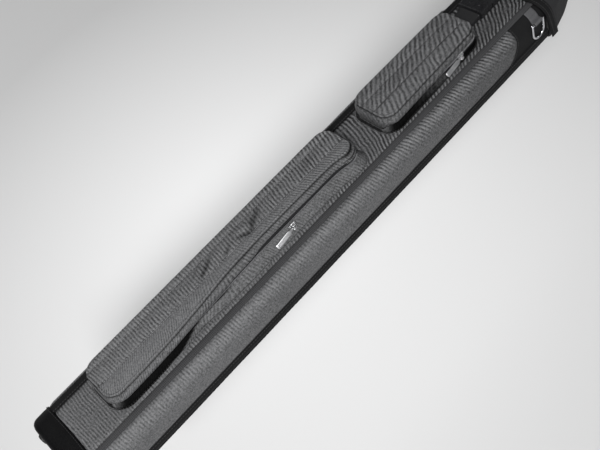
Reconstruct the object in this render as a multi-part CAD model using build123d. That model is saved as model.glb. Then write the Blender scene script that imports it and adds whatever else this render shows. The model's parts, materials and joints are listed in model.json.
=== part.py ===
from build123d import *
import math
import os

# Cue case lying on its back. X runs from the base boot (-X) to the lid (+X), Z is up out of
# the front panel, and the side with the zips and the upper D-ring is -Y. Millimetres.

# ---- driving dimensions ----
LENGTH = 872.0            # boot to lid top
BODY_W = 120.0            # across the case, Y
BODY_H = 60.0             # back to front panel, Z
R_FRONT = 22.0            # round corners beside the front panel
R_BACK = 12.0             # round corners at the back
SKIN = 2.6                # padded fabric wall
CORE = 1.2                # stiff board inside the fabric
GAP = 0.4                 # running gap between pieces that move apart

X_END = -LENGTH / 2
X_TOP = LENGTH / 2
STUD_H = 2.5
STUD_R = 7.0
STUD_Y = (-36.0, 36.0)
STUD_Z = (18.0, 42.0)
X_SOLE = X_END + STUD_H
X_BOOT = X_SOLE + 28.5
BOOT_WALL = 4.0
SOLE_ROUND = 7.0
X_PANEL_END = 291.0       # where the padded side panels stop
X_COLLAR_END = 350.3
X_HINGE = 351.0
X_MOUTH = 362.0
HINGE_HALF_W = 46.0
HINGE_T = 0.9
MOUTH_BINDING_L = 3.0
COLLAR_INSET = 1.4        # collar lies this far inside the padded panels

BINDING_W = 8.0
Y_SEAM = 42.0             # middle of the seam between front panel and side panel
R_PIPING = 2.2
Z_PIPING = R_BACK * (1 - math.sin(math.radians(45)))

BUTT_BORE_R = 16.0
BUTT_OUT_R = 17.0
BUTT_Y = 38.0
SHAFT_BORE_R = 11.0
SHAFT_OUT_R = 11.75
SHAFT_Y = 11.9
SHAFT_DZ = 12.2
Z_MID = BODY_H / 2
X_TUBE_FLOOR = X_SOLE + 23.5
X_TUBE_MOUTH = X_MOUTH - 1.0
MOUTH_PLATE_L = 12.0
SPACER_X = (-250.0, 0.0, 200.0)
SPACER_L = 20.0

POCKET_H = 26.0           # pocket height above the front panel
POCKET_WALL = 2.0
POCKET_FACE = 3.5
POCKET_R = 20.0
POCKET_RIM = 1.5          # the face stands out past the walls by this much
ZIP_RISE = 12.0           # height of the zip line on the near wall
TAPE_T = 1.2
LONG_POCKET = {"x0": -356.0, "x1": 46.0, "y0": -23.0, "y1": 33.0, "slider_x": -76.0}
SHORT_POCKET = {"x0": 90.0, "x1": 264.0, "y0": -26.0, "y1": 33.0, "slider_x": 222.0}

SLIDER_L = 10.0
SLIDER_W = 8.0
SLIDER_T = 2.0
EAR_T = 1.4
PIN_R = 0.9
PULLER_L = 31.0
PIN_OUT = 4.6             # pin's middle in front of the slider's back
PULLER_W = 5.6

WEBBING_W = 32.0
WEBBING_T = 1.6
STRAP_Y = 12.0
BUCKLE_W = 38.0
BUCKLE_H = 11.0
Z_BUCKLE = 61.0
X_ANCHOR = 268.0
X_RECEPTACLE = (292.0, 323.0)
X_PLUG = (323.5, 337.0)
ARM_Y = 12.0
ARM_W = 3.4
ARM_TIP_X = 303.0
ARM_PIVOT_X = 326.5
ARM_PIVOT_R = 2.3
BARB_L = 10.5

LID_WALL = 3.0
LID_BACK = 1.6
HEM_L = 12.0
X_HEM = 353.0             # back of the hem's open edge
HEM_LEAN = 12.4           # degrees that the hem leans towards the base at the front
HEM_T = 2.2
# lid outline: distance past the hinge line, half width, front height, back height
LID_STATIONS = [
    (0.3, 63.8, 64.0, 0.0),
    (14.0, 62.5, 63.0, 0.0),
    (42.0, 54.5, 57.0, 0.0),
    (85.0, 37.0, 44.0, 6.0),
]
LID_R_FRONT = 20.0
LID_R_BACK = 9.0
LINING_T = 0.8

RING_WIRE_R = 1.5
RING_INNER_W = 18.0
RING_REACH = 25.0
TAB_W = 16.0
TAB_T = 1.4
TAB_LOOP_R = 2.9
BAR_STANDOFF = 2.0        # ring's plane outside the flat of the side
UPPER_RING = {"x": 331.0, "side": -1, "bar_z": 46.0, "tab_top": 60.0}
LOWER_RING = {"x": -372.0, "side": 1, "bar_z": 32.0, "tab_top": 42.0}

os.makedirs("parts", exist_ok=True)


def save(name, shape):
    export_step(shape, f"parts/{name}.step")


def box(x0, x1, y0, y1, z0, z1):
    return Pos((x0 + x1) / 2, (y0 + y1) / 2, (z0 + z1) / 2) * Box(x1 - x0, y1 - y0, z1 - z0)


def section(x, half_w, z0, z1, r_top, r_bottom):
    """A rounded rectangle across the case at x, facing +X."""
    outline = Rectangle(2 * half_w, z1 - z0)
    outline = fillet(outline.vertices().group_by(Axis.Y)[-1], r_top)
    outline = fillet(outline.vertices().group_by(Axis.Y)[0], r_bottom)
    across = Plane(origin=(x, 0, (z0 + z1) / 2), x_dir=(0, 1, 0), z_dir=(1, 0, 0))
    return across * outline


def hull_solid(x0, x1, inset):
    """The case's outer form between x0 and x1, moved in by inset all round."""
    face = section(x0, BODY_W / 2 - inset, inset, BODY_H - inset, R_FRONT - inset, max(R_BACK - inset, 1.0))
    return extrude(face, amount=x1 - x0, dir=(1, 0, 0))


def hull_ring(x0, x1, outer_inset, inner_inset):
    return hull_solid(x0, x1, outer_inset) - hull_solid(x0 - 1, x1 + 1, inner_inset)


# ---- outer fabric ----

def piping(side):
    """Cord along the back corner, resting in the corner's curve."""
    y = side * (BODY_W / 2 - R_BACK * (1 - math.cos(math.radians(45))))
    cord = Plane(origin=(X_BOOT, y, Z_PIPING), x_dir=(0, 1, 0), z_dir=(1, 0, 0)) * Circle(R_PIPING)
    return extrude(cord, amount=X_COLLAR_END - X_BOOT, dir=(1, 0, 0))


def outer_skin():
    return hull_ring(X_BOOT, X_COLLAR_END, 0, SKIN)


def front_panel():
    edge = Y_SEAM - BINDING_W / 2
    return outer_skin() & box(X_BOOT, X_COLLAR_END, -edge, edge, Z_MID, BODY_H)


def seam_binding(side):
    y0, y1 = sorted((side * (Y_SEAM - BINDING_W / 2), side * (Y_SEAM + BINDING_W / 2)))
    return outer_skin() & box(X_BOOT, X_COLLAR_END, y0, y1, Z_MID, BODY_H)


def side_panel(side):
    y0, y1 = sorted((side * (Y_SEAM + BINDING_W / 2), side * BODY_W))
    return (outer_skin() & box(X_BOOT, X_PANEL_END, y0, y1, Z_PIPING, BODY_H)) - piping(side)


def back_panel():
    panel = outer_skin() & box(X_BOOT, X_COLLAR_END, -BODY_W, BODY_W, -1, Z_PIPING)
    return panel - piping(1) - piping(-1) - hinge_strip()


def hinge_strip():
    """Cloth hinge of the lid, let into the end of the back panel."""
    return box(X_HINGE - 14, X_COLLAR_END, -HINGE_HALF_W, HINGE_HALF_W, 0, HINGE_T)


def collar(side):
    """Woven side of the case between the padded panel and the lid, lying slightly deeper."""
    y0, y1 = sorted((side * (Y_SEAM + BINDING_W / 2), side * BODY_W))
    ring = hull_ring(X_PANEL_END, X_COLLAR_END, COLLAR_INSET, SKIN)
    return (ring & box(X_PANEL_END, X_COLLAR_END, y0, y1, Z_PIPING, BODY_H)) - piping(side)


# ---- base ----

def base_boot():
    """Moulded cup over the foot of the case, rounded at its sole."""
    cup = hull_solid(X_SOLE, X_BOOT, 0)
    rim = cup.edges().filter_by(lambda e: abs(e.center().X - X_SOLE) < 0.01)
    return fillet(rim, SOLE_ROUND) - hull_solid(X_SOLE + BOOT_WALL, X_BOOT + 1, SKIN)


def base_studs():
    """Low domed feet on the sole, for standing the case on end."""
    dome_r = (STUD_R ** 2 + STUD_H ** 2) / (2 * STUD_H)
    room = box(X_END - 1, X_SOLE, -BODY_W, BODY_W, -BODY_H, 2 * BODY_H)
    places = [Pos(X_END + dome_r, y, z) for y in STUD_Y for z in STUD_Z]
    return Compound(children=[place * Sphere(dome_r) & room for place in places])


def base_pad():
    return hull_solid(X_SOLE + BOOT_WALL, X_TUBE_FLOOR, SKIN + CORE)


# ---- inside ----

def tube_places():
    places = []
    for label, y in (("right", -BUTT_Y), ("left", BUTT_Y)):
        places.append((f"butt_tube_{label}", y, Z_MID, BUTT_BORE_R, BUTT_OUT_R))
    corners = [(y, z) for z in (Z_MID + SHAFT_DZ, Z_MID - SHAFT_DZ) for y in (-SHAFT_Y, SHAFT_Y)]
    for n, (y, z) in enumerate(corners, 1):
        places.append((f"shaft_tube_{n}", y, z, SHAFT_BORE_R, SHAFT_OUT_R))
    return places


def rod(x0, x1, y, z, r):
    disc = Plane(origin=(x0, y, z), x_dir=(0, 1, 0), z_dir=(1, 0, 0)) * Circle(r)
    return extrude(disc, amount=x1 - x0, dir=(1, 0, 0))


def tube(y, z, bore_r, out_r):
    bore = rod(X_TUBE_FLOOR - 1, X_TUBE_MOUTH + 1, y, z, bore_r)
    return rod(X_TUBE_FLOOR, X_TUBE_MOUTH, y, z, out_r) - bore


def tube_plate(x0, x1):
    """Foam plate that fills the case round the tubes."""
    plate = hull_solid(x0, x1, SKIN + CORE)
    for _, y, z, _, out_r in tube_places():
        plate -= rod(x0 - 1, x1 + 1, y, z, out_r)
    return plate


def core_shell():
    return hull_ring(X_SOLE + BOOT_WALL, X_MOUTH - MOUTH_BINDING_L, SKIN, SKIN + CORE)


def mouth_binding():
    """Bound edge of the mouth, over the end of the board and the tubes' plate."""
    return hull_ring(X_MOUTH - MOUTH_BINDING_L, X_MOUTH, SKIN - 0.4, SKIN + CORE)


# ---- pockets ----

def pocket_block(p, grow, z0, z1):
    """The pocket's plan with round corners, between two heights."""
    w = p["x1"] - p["x0"] + 2 * grow
    h = p["y1"] - p["y0"] + 2 * grow
    plan = RectangleRounded(w, h, POCKET_R + grow)
    middle = Pos((p["x0"] + p["x1"]) / 2, (p["y0"] + p["y1"]) / 2, z0)
    return middle * extrude(plan, amount=z1 - z0)


def zip_split(p, lift):
    """Everything under the zip line, which falls from the near wall to the hinge at the far wall."""
    near, far = p["y0"] - 5, p["y1"] + 5
    z_near = BODY_H + ZIP_RISE + lift
    z_far = BODY_H + 1.0 + lift
    low = BODY_H - 5
    outline = Polyline((near, low), (near, z_near), (p["y1"], z_far), (far, z_far), (far, low), close=True)
    face = Plane(origin=(p["x0"] - 5, 0, 0), x_dir=(0, 1, 0), z_dir=(1, 0, 0)) * make_face(outline)
    return extrude(face, amount=p["x1"] - p["x0"] + 10, dir=(1, 0, 0))


def pocket_base(p):
    """Backing cloth and the low part of the wall, up to the zip line."""
    block = pocket_block(p, 0, BODY_H, BODY_H + POCKET_H)
    hollow = pocket_block(p, -POCKET_WALL, BODY_H + 1.0, BODY_H + POCKET_H + 1)
    return (block - hollow) & zip_split(p, -GAP / 2)


def pocket_face(p):
    """Face panel with the upper wall, which lifts on its far edge."""
    top = BODY_H + POCKET_H
    wall = pocket_block(p, 0, BODY_H, top - POCKET_FACE)
    panel = pocket_block(p, POCKET_RIM, top - POCKET_FACE, top)
    hollow = pocket_block(p, -POCKET_WALL, BODY_H - 1, top - POCKET_FACE)
    return wall + panel - hollow - zip_split(p, GAP / 2)


def zip_tape(p, upper):
    """One half of the zip, along the near wall on its own side of the zip line."""
    z = BODY_H + ZIP_RISE - 1.0
    x0, x1 = p["x0"] + POCKET_R, p["x1"] - POCKET_R
    y0, y1 = p["y0"] - TAPE_T, p["y0"]
    return box(x0, x1, y0, y1, z + GAP, z + 3.6) if upper else box(x0, x1, y0, y1, z - 3.6, z)


def zip_slider(p):
    """Slider in front of the tapes, with two ears that carry the puller's pin."""
    x, z = p["slider_x"], BODY_H + ZIP_RISE - 1.0
    back = p["y0"] - TAPE_T - GAP
    low_z, high_z = z - SLIDER_W / 2, z + SLIDER_W / 2
    plate = box(x - SLIDER_L / 2, x + SLIDER_L / 2, back - SLIDER_T, back, low_z, high_z)
    plate = fillet(plate.edges().filter_by(Axis.Y), 1.8)
    pin_y = back - PIN_OUT
    low = box(x - 2.0, x + 2.0, pin_y - 1.6, back - SLIDER_T, low_z, low_z + EAR_T)
    high = box(x - 2.0, x + 2.0, pin_y - 1.6, back - SLIDER_T, high_z - EAR_T, high_z)
    pin = Pos(x, pin_y, z) * Cylinder(PIN_R, SLIDER_W - 2.0)
    return plate + low + high + pin


def pin_place(p):
    return p["slider_x"], p["y0"] - TAPE_T - GAP - PIN_OUT, BODY_H + ZIP_RISE - 1.0


def zip_puller(p):
    """Bar puller with an eye round the slider's pin."""
    x, y, z = pin_place(p)
    height = SLIDER_W - 2 * EAR_T - 2 * GAP
    eye = Pos(x, y, z) * Cylinder(2.1, height)
    neck = box(x - 7.0, x, y - 0.8, y + 0.8, z - height / 2, z + height / 2)
    bar = box(x - PULLER_L, x - 6.0, y - 0.9, y + 0.9, z - PULLER_W / 2, z + PULLER_W / 2)
    bar = fillet(bar.edges().filter_by(Axis.Y), 1.4)
    bore = Pos(x, y, z) * Cylinder(PIN_R + 0.1, 20)
    return eye + neck + bar - bore


# ---- buckle ----

def webbing(x0, x1, z0, z1):
    return box(x0, x1, STRAP_Y - WEBBING_W / 2, STRAP_Y + WEBBING_W / 2, z0, z1)


def buckle_anchor():
    """Folded webbing, stitched down, that holds the receptacle."""
    return webbing(X_ANCHOR, X_RECEPTACLE[0], BODY_H, BODY_H + 2 * WEBBING_T)


def buckle_receptacle():
    """Flat sleeve, open towards the lid, with a window in each side for the plug's barbs."""
    x0, x1 = X_RECEPTACLE
    half = BUCKLE_W / 2
    body = box(x0, x1, STRAP_Y - half, STRAP_Y + half, Z_BUCKLE - 1, Z_BUCKLE - 1 + BUCKLE_H)
    body = fillet(body.edges().filter_by(Axis.X), 2.5)
    cavity = box(x0 + 8, x1 + 1, STRAP_Y - half + 3, STRAP_Y + half - 3, Z_BUCKLE + 1.2, Z_BUCKLE + 7.8)
    windows = box(x0 + 12, x1 - 8, STRAP_Y - half - 1, STRAP_Y + half + 1, Z_BUCKLE + 1.2, Z_BUCKLE + 7.8)
    return body - cavity - windows


def buckle_plug():
    """Plug with its guide tongue, and a socket for each springy arm."""
    x0, x1 = X_PLUG
    half = BUCKLE_W / 2
    head = box(x0, x1, STRAP_Y - half, STRAP_Y + half, Z_BUCKLE - 0.5, Z_BUCKLE - 1 + BUCKLE_H)
    head = fillet(head.edges().filter_by(Axis.X), 2.5)
    tongue = box(ARM_TIP_X + 1, x0 + 1, STRAP_Y - 2.6, STRAP_Y + 2.6, Z_BUCKLE + 2.2, Z_BUCKLE + 6.8)
    for side in (-1, 1):
        y = STRAP_Y + side * ARM_Y
        socket = Pos(ARM_PIVOT_X, y, Z_BUCKLE + 4.5) * Cylinder(ARM_PIVOT_R + 0.3, 6.6)
        slit = box(x0 - 1, ARM_PIVOT_X, y - 2.6, y + 2.6, Z_BUCKLE + 1.2, Z_BUCKLE + 7.8)
        head = head - socket - slit
    return head + tongue


def buckle_arm(side):
    """Springy arm that hooks in the receptacle's window and is squeezed in to let go."""
    y = STRAP_Y + side * ARM_Y
    z0, z1 = Z_BUCKLE + 1.7, Z_BUCKLE + 7.3
    arm = box(ARM_TIP_X, ARM_PIVOT_X, y - ARM_W / 2, y + ARM_W / 2, z0, z1)
    root = Pos(ARM_PIVOT_X, y, (z0 + z1) / 2) * Cylinder(ARM_PIVOT_R, z1 - z0)
    edge = y + side * ARM_W / 2
    tip = STRAP_Y + side * (BUCKLE_W / 2 - 0.6)
    x0, x1 = ARM_TIP_X, ARM_TIP_X + BARB_L
    barb_line = Polyline((x0, y), (x0 + 1.0, edge), (x0 + 4.0, tip), (x1, tip), (x1, y), close=True)
    barb = Pos(0, 0, z0) * extrude(make_face(barb_line), amount=z1 - z0)
    return arm + root + barb


def lid_strap():
    """Doubled webbing from the plug to the top of the lid's hem."""
    z = LID_STATIONS[0][2] + HEM_T
    return webbing(X_PLUG[1], X_HINGE + 3, z, z + 2 * WEBBING_T)


# ---- lid ----

def lid_form(inset, back_inset, top_inset):
    faces = []
    for n, (dx, half_w, front, back) in enumerate(LID_STATIONS):
        last = n == len(LID_STATIONS) - 1
        x = X_HINGE + dx - (top_inset if last else 0)
        z0, z1 = back + back_inset, front - inset
        r_front = min(LID_R_FRONT, (z1 - z0) / 2 - 2) - inset
        faces.append(section(x, half_w - inset, z0, z1, r_front, LID_R_BACK))
    return loft(Sketch() + faces)


def lid_shell():
    return lid_form(0, 0, 0) - lid_form(LID_WALL, LID_BACK, LID_WALL)


def lid_lining():
    """Thin lining past the mouth of the case, backed all over by the lid."""
    wall, back = LID_WALL + LINING_T, LID_BACK + LINING_T
    lining = lid_form(LID_WALL, LID_BACK, LID_WALL) - lid_form(wall, back, wall)
    return lining & box(X_MOUTH + 2, X_TOP, -BODY_W, BODY_W, 0, BODY_H + 20)


def lid_hem():
    """Thick bound hem that stands out round the lid's mouth and leans to the base at the front."""
    half_w, front = LID_STATIONS[0][1], LID_STATIONS[0][2]
    tall = front / math.cos(math.radians(HEM_LEAN))
    lean = Pos(X_HEM, 0, 0) * Rotation(0, -HEM_LEAN, 0)
    around = section(0, half_w + HEM_T, 2.0, tall + HEM_T, LID_R_FRONT + HEM_T, LID_R_BACK)
    within = section(0, half_w, -5.0, tall, LID_R_FRONT, LID_R_BACK)
    outer = extrude(lean * around, amount=HEM_L, dir=(1, 0, 0))
    inner = extrude(lean * within, amount=HEM_L + 10, dir=(1, 0, 0))
    return outer - Pos(-1, 0, 0) * inner - lid_form(0, 0, 0)


# ---- carrying rings ----

def ring_inset(r):
    """The upper ring sits on the collar, the lower one on the padded panel."""
    return COLLAR_INSET if r["side"] < 0 else 0.0


def ring_y(r):
    return r["side"] * (BODY_W / 2 - ring_inset(r) + BAR_STANDOFF)


def d_ring(r):
    """Wire ring hanging flat down the side: a straight bar on top and a round bow below."""
    half = RING_INNER_W / 2 + RING_WIRE_R
    bend = half - RING_REACH
    sides = Polyline((-half, bend), (-half, 0), (half, 0), (half, bend))
    bow = ThreePointArc((half, bend), (0, -RING_REACH), (-half, bend))
    upright = Plane(origin=(r["x"], ring_y(r), r["bar_z"]), x_dir=(1, 0, 0), z_dir=(0, -1, 0))
    wire = upright * (sides + bow)
    first = wire.edges()[0]
    start = Plane(origin=first.position_at(0.5), z_dir=first.tangent_at(0.5))
    return sweep(start * Circle(RING_WIRE_R), path=Wire(wire.edges()), transition=Transition.ROUND)


def ring_tab(r):
    """Webbing tab stitched over the front corner, with its fold round the ring's bar."""
    inset = ring_inset(r)
    cloth = hull_ring(X_BOOT, X_COLLAR_END, inset - TAB_T, inset)
    y0, y1 = sorted((r["side"] * 46, r["side"] * BODY_W))
    x0, x1 = r["x"] - TAB_W / 2, r["x"] + TAB_W / 2
    strip = cloth & box(x0, x1, y0, y1, r["bar_z"], r["tab_top"])
    along = Pos(r["x"], ring_y(r), r["bar_z"]) * Rotation(0, 90, 0)
    fold = along * Cylinder(TAB_LOOP_R, TAB_W) - hull_solid(x0 - 1, x1 + 1, inset)
    return strip + fold - along * Cylinder(RING_WIRE_R + 0.2, TAB_W + 1)


def main():
    save("front_panel", front_panel())
    for name, side in (("right", -1), ("left", 1)):
        save(f"side_panel_{name}", side_panel(side))
        save(f"seam_binding_{name}", seam_binding(side))
        save(f"back_piping_{name}", piping(side))
        save(f"collar_{name}", collar(side))
        save(f"buckle_arm_{name}", buckle_arm(side))
    save("back_panel", back_panel())
    save("base_boot", base_boot())
    save("base_studs", base_studs())
    save("base_pad", base_pad())
    save("core_shell", core_shell())
    save("mouth_binding", mouth_binding())
    save("mouth_plate", tube_plate(X_TUBE_MOUTH - MOUTH_PLATE_L, X_TUBE_MOUTH))
    for n, x in enumerate(SPACER_X, 1):
        save(f"tube_spacer_{n}", tube_plate(x - SPACER_L / 2, x + SPACER_L / 2))
    for name, y, z, bore_r, out_r in tube_places():
        save(name, tube(y, z, bore_r, out_r))
    for name, p in (("long", LONG_POCKET), ("short", SHORT_POCKET)):
        save(f"{name}_pocket_base", pocket_base(p))
        save(f"{name}_pocket_face", pocket_face(p))
        save(f"{name}_zip_lower", zip_tape(p, False))
        save(f"{name}_zip_upper", zip_tape(p, True))
        save(f"{name}_zip_slider", zip_slider(p))
        save(f"{name}_zip_puller", zip_puller(p))
    save("buckle_anchor", buckle_anchor())
    save("buckle_receptacle", buckle_receptacle())
    save("buckle_plug", buckle_plug())
    save("lid_strap", lid_strap())
    save("lid_shell", lid_shell())
    save("lid_lining", lid_lining())
    save("lid_hem", lid_hem())
    save("lid_hinge_strip", hinge_strip())
    for name, r in (("upper", UPPER_RING), ("lower", LOWER_RING)):
        save(f"{name}_d_ring", d_ring(r))
        save(f"{name}_ring_tab", ring_tab(r))


main()
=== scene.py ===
import json
import math
import bpy
import numpy as np
from mathutils import Matrix, Vector


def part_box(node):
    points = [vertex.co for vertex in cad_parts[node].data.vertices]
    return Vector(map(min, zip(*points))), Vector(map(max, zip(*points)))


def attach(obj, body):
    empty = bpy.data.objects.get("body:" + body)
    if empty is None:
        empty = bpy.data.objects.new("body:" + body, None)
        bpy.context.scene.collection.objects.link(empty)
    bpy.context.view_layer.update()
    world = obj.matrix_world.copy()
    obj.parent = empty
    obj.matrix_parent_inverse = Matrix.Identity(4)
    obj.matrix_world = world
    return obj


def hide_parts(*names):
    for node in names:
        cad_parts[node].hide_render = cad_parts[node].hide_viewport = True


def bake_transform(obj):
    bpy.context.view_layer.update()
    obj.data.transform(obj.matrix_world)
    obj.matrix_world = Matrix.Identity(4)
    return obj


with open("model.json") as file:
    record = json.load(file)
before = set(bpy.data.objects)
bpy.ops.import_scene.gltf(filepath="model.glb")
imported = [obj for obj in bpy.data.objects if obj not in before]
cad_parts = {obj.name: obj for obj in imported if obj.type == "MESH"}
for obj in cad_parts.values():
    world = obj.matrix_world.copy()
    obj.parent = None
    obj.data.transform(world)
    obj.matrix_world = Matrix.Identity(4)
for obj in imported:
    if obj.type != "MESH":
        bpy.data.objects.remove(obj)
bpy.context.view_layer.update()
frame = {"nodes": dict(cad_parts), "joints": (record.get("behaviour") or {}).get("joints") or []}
nodes = frame["nodes"]
TAU = 2 * math.pi

# All lengths below are in mm; add_mesh() turns them into metres.
def box_mm(name):
    """Low and high corner of a CAD node's box."""
    return [np.array(corner) * 1000 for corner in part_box(name)]


def joint_mm(name):
    """Where a joint stands at rest."""
    return np.array(next(j for j in frame["joints"] if j["name"] == name)["pos_m"]) * 1000


X_BOOT = box_mm("front_panel")[0][0]
X_SOLE = box_mm("base_boot")[0][0]
X_SIDE_END = box_mm("side_panel_right")[1][0]
X_END = box_mm("collar_right")[1][0]
Z_FRONT = box_mm("front_panel")[1][2]
HALF_W = 60.0

# The section: flat front, front corner, side, back corner. S_ values are arc lengths from the front's middle.
S_FLAT, R_F, R_B = 38.0, 22.0, 12.0
S_SIDE = S_FLAT + R_F * math.pi / 2
S_BACK = S_SIDE + 26.0
S_END = S_BACK + R_B * math.pi / 2
S_PIPE = S_BACK + R_B * math.pi / 4
S_LOW = S_BACK - 4.5
S_BIND = 37.6
BOOT_CURVE = 2.2
# Where each side panel starts. The far side (1) starts higher, so that its dark binding covers the far crest:
# painted shade.
S_TOP = {-1: 44.0, 1: 50.5}


# ---- numbers ----

def smooth(a, b, x):
    t = np.clip((np.asarray(x, float) - a) / (b - a), 0, 1)
    return t * t * (3 - 2 * t)


def bell(x, mid, wide):
    return np.exp(-((np.asarray(x, float) - mid) / wide) ** 2)


def ripple(x, s, amp, scale, seed, skew=0.6):
    """Low waves over a cloth, the same on every run."""
    r = np.random.RandomState(seed)
    out = 0
    for _ in range(7):
        kx = r.uniform(0.35, 1.0) * TAU / scale
        ks = r.uniform(-1.0, 1.0) * skew * TAU / scale
        out = out + np.sin(kx * x + ks * s + r.uniform(0, TAU))
    return amp * out / 7 ** 0.5


def spline(ctrl, n):
    """n points on a smooth line through the control points."""
    p = np.asarray(ctrl, float)
    e = np.vstack([2 * p[0] - p[1], p, 2 * p[-1] - p[-2]])
    t = np.linspace(0, len(p) - 1, n)
    k = np.minimum(t.astype(int), len(p) - 2)
    f = (t - k)[:, None]
    a, b, c, d = e[k], e[k + 1], e[k + 2], e[k + 3]
    square = 2 * a - 5 * b + 4 * c - d
    cube = 3 * b - a - 3 * c + d
    return 0.5 * (2 * b + (c - a) * f + square * f ** 2 + cube * f ** 3)


def sec(s, side, out=0.0):
    """Point on the case's section at arc length s from the front's middle, moved outwards by out."""
    s = np.asarray(s, float)
    a1 = np.clip((s - S_FLAT) / R_F, 0, math.pi / 2)
    a2 = np.clip((s - S_BACK) / R_B, 0, math.pi / 2)
    ang = a1 + a2
    ny, nz = np.sin(ang), np.cos(ang)
    y = np.minimum(s, S_FLAT) + R_F * np.sin(a1) - R_B * (1 - np.cos(a2)) - np.maximum(s - S_END, 0)
    z = Z_FRONT - R_F * (1 - np.cos(a1)) - np.clip(s - S_SIDE, 0, S_BACK - S_SIDE) - R_B * np.sin(a2)
    return side * (y + ny * out), z + nz * out


def soft_kernel(n):
    return np.hanning(n) / np.hanning(n).sum()


def loop_section(n, half_w, z0, z1, rf, rb):
    """Closed section: n evenly spaced points from the front's middle round by -Y, with outward normals."""
    pts = []
    for cy, cz, r, a0 in ((-half_w + rf, z1 - rf, rf, 90), (-half_w + rb, z0 + rb, rb, 180),
                          (half_w - rb, z0 + rb, rb, 270), (half_w - rf, z1 - rf, rf, 0)):
        for a in np.radians(np.linspace(a0, a0 + 90, 24)):
            pts.append((cy + r * math.cos(a), cz + r * math.sin(a), math.cos(a), math.sin(a)))
    pts = np.array([(0, z1, 0, 1)] + pts + [(0, z1, 0, 1)])
    d = np.r_[0, np.cumsum(np.hypot(*np.diff(pts[:, :2], axis=0).T))]
    t = np.linspace(0, d[-1], n)
    res = np.stack([np.interp(t, d, pts[:, k]) for k in range(4)], 1)
    return res, t


# ---- meshes ----

def add_mesh(name, verts, faces, mat, body, attrs=None, node=(), sharp=48):
    """Mesh from points in mm: its material, the body it rides on and the CAD nodes it replaces."""
    me = bpy.data.meshes.new(name)
    me.from_pydata((np.asarray(verts, float) * 0.001).tolist(), [], [tuple(int(i) for i in f) for f in faces])
    for k, v in (attrs or {}).items():
        values = me.attributes.new(name=k, type="FLOAT", domain="POINT").data
        values.foreach_set("value", np.asarray(v, np.float32).ravel())
    me.polygons.foreach_set("use_smooth", np.ones(len(me.polygons), bool))
    me.set_sharp_from_angle(angle=math.radians(sharp))
    ob = bpy.data.objects.new(name, me)
    bpy.context.collection.objects.link(ob)
    me.materials.append(mat)
    if body:
        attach(ob, body)
    if node:
        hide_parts(*([node] if isinstance(node, str) else node))
    return ob


def quads(nu, nv, off=0, wrap=False, flip=False):
    cols = np.arange(nv if wrap else nv - 1)
    a = (np.arange(nu - 1)[:, None] * nv + cols[None, :]).ravel() + off
    b = (np.arange(nu - 1)[:, None] * nv + ((cols + 1) % nv)[None, :]).ravel() + off
    q = np.stack([a, a + nv, b + nv, b], 1)
    return q[:, ::-1] if flip else q


def edge_loop(nu, nv):
    u = np.arange(nu)
    v = np.arange(nv)
    return np.r_[u * nv, (nu - 1) * nv + v[1:], (u[::-1] * nv + nv - 1)[1:], v[::-1][1:-1]]


def strip(a, b):
    """Quads between two loops of the same length."""
    return np.stack([a, b, np.roll(b, -1), np.roll(a, -1)], 1)


def slab(name, outer, inner, mat, body, attrs=None, node=(), flip=False):
    """Closed cloth with a real thickness between two grids."""
    nu, nv = outer.shape[:2]
    n = nu * nv
    verts = np.vstack([outer.reshape(-1, 3), inner.reshape(-1, 3)])
    e = edge_loop(nu, nv)
    faces = [quads(nu, nv, 0, flip=flip), quads(nu, nv, n, flip=not flip)]
    side = strip(e, e + n)
    faces.append(side if not flip else side[:, ::-1])
    two = {k: np.r_[np.ravel(v), np.ravel(v)] for k, v in (attrs or {}).items()}
    return add_mesh(name, verts, np.vstack(faces), mat, body, two, node)


def section_slab(name, gx, gs, side, out, deep, mat, attrs=None, node=()):
    """Cloth that follows the case's section: outer skin at out, inner skin at deep, both from the section."""
    y, z = sec(gs, side, out)
    yi, zi = sec(gs, side, np.full_like(gs, deep))
    outer = np.stack([gx, y, z], -1)
    inner = np.stack([gx, yi, zi], -1)
    at = {"cu": gx, "cv": gs, **(attrs or {})}
    return slab(name, outer, inner, mat, "case", at, node, flip=side < 0)


def sweep(name, path, radius, mat, body, node=(), seg=10, attrs=True, squash=(1, 1), up=(0, 0, 1),
          closed=False):
    """Tube along a path; radius is a number or one per point, and the section may be flattened."""
    p = np.asarray(path, float)
    n = len(p)
    tan = np.roll(p, -1, 0) - np.roll(p, 1, 0)
    if not closed:
        tan[0], tan[-1] = p[1] - p[0], p[-1] - p[-2]
    tan /= np.linalg.norm(tan, axis=1)[:, None] + 1e-12
    upv = np.tile(np.asarray(up, float), (n, 1))
    sidev = np.cross(tan, upv)
    sidev /= np.linalg.norm(sidev, axis=1)[:, None] + 1e-12
    upv = np.cross(sidev, tan)
    a = np.arange(seg) * TAU / seg
    r = np.broadcast_to(np.asarray(radius, float), (n,))[:, None, None]
    ring = np.cos(a)[None, :, None] * sidev[:, None, :] * squash[0]
    ring = ring + np.sin(a)[None, :, None] * upv[:, None, :] * squash[1]
    verts = (p[:, None, :] + ring * r).reshape(-1, 3)
    faces = [tuple(f) for f in quads(n, seg, wrap=True)]
    if closed:
        last = (n - 1) * seg
        faces += [(last + i, i, (i + 1) % seg, last + (i + 1) % seg) for i in range(seg)]
    else:
        faces += [tuple(range(seg)), tuple(range(n * seg - 1, (n - 1) * seg - 1, -1))]
    d = np.r_[0, np.cumsum(np.linalg.norm(np.diff(p, axis=0), axis=1))]
    cu = np.repeat(d, seg)
    cv = np.tile(a * float(np.mean(r)), n)
    return add_mesh(name, verts, faces, mat, body, {"cu": cu, "cv": cv} if attrs else None, node)


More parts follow.
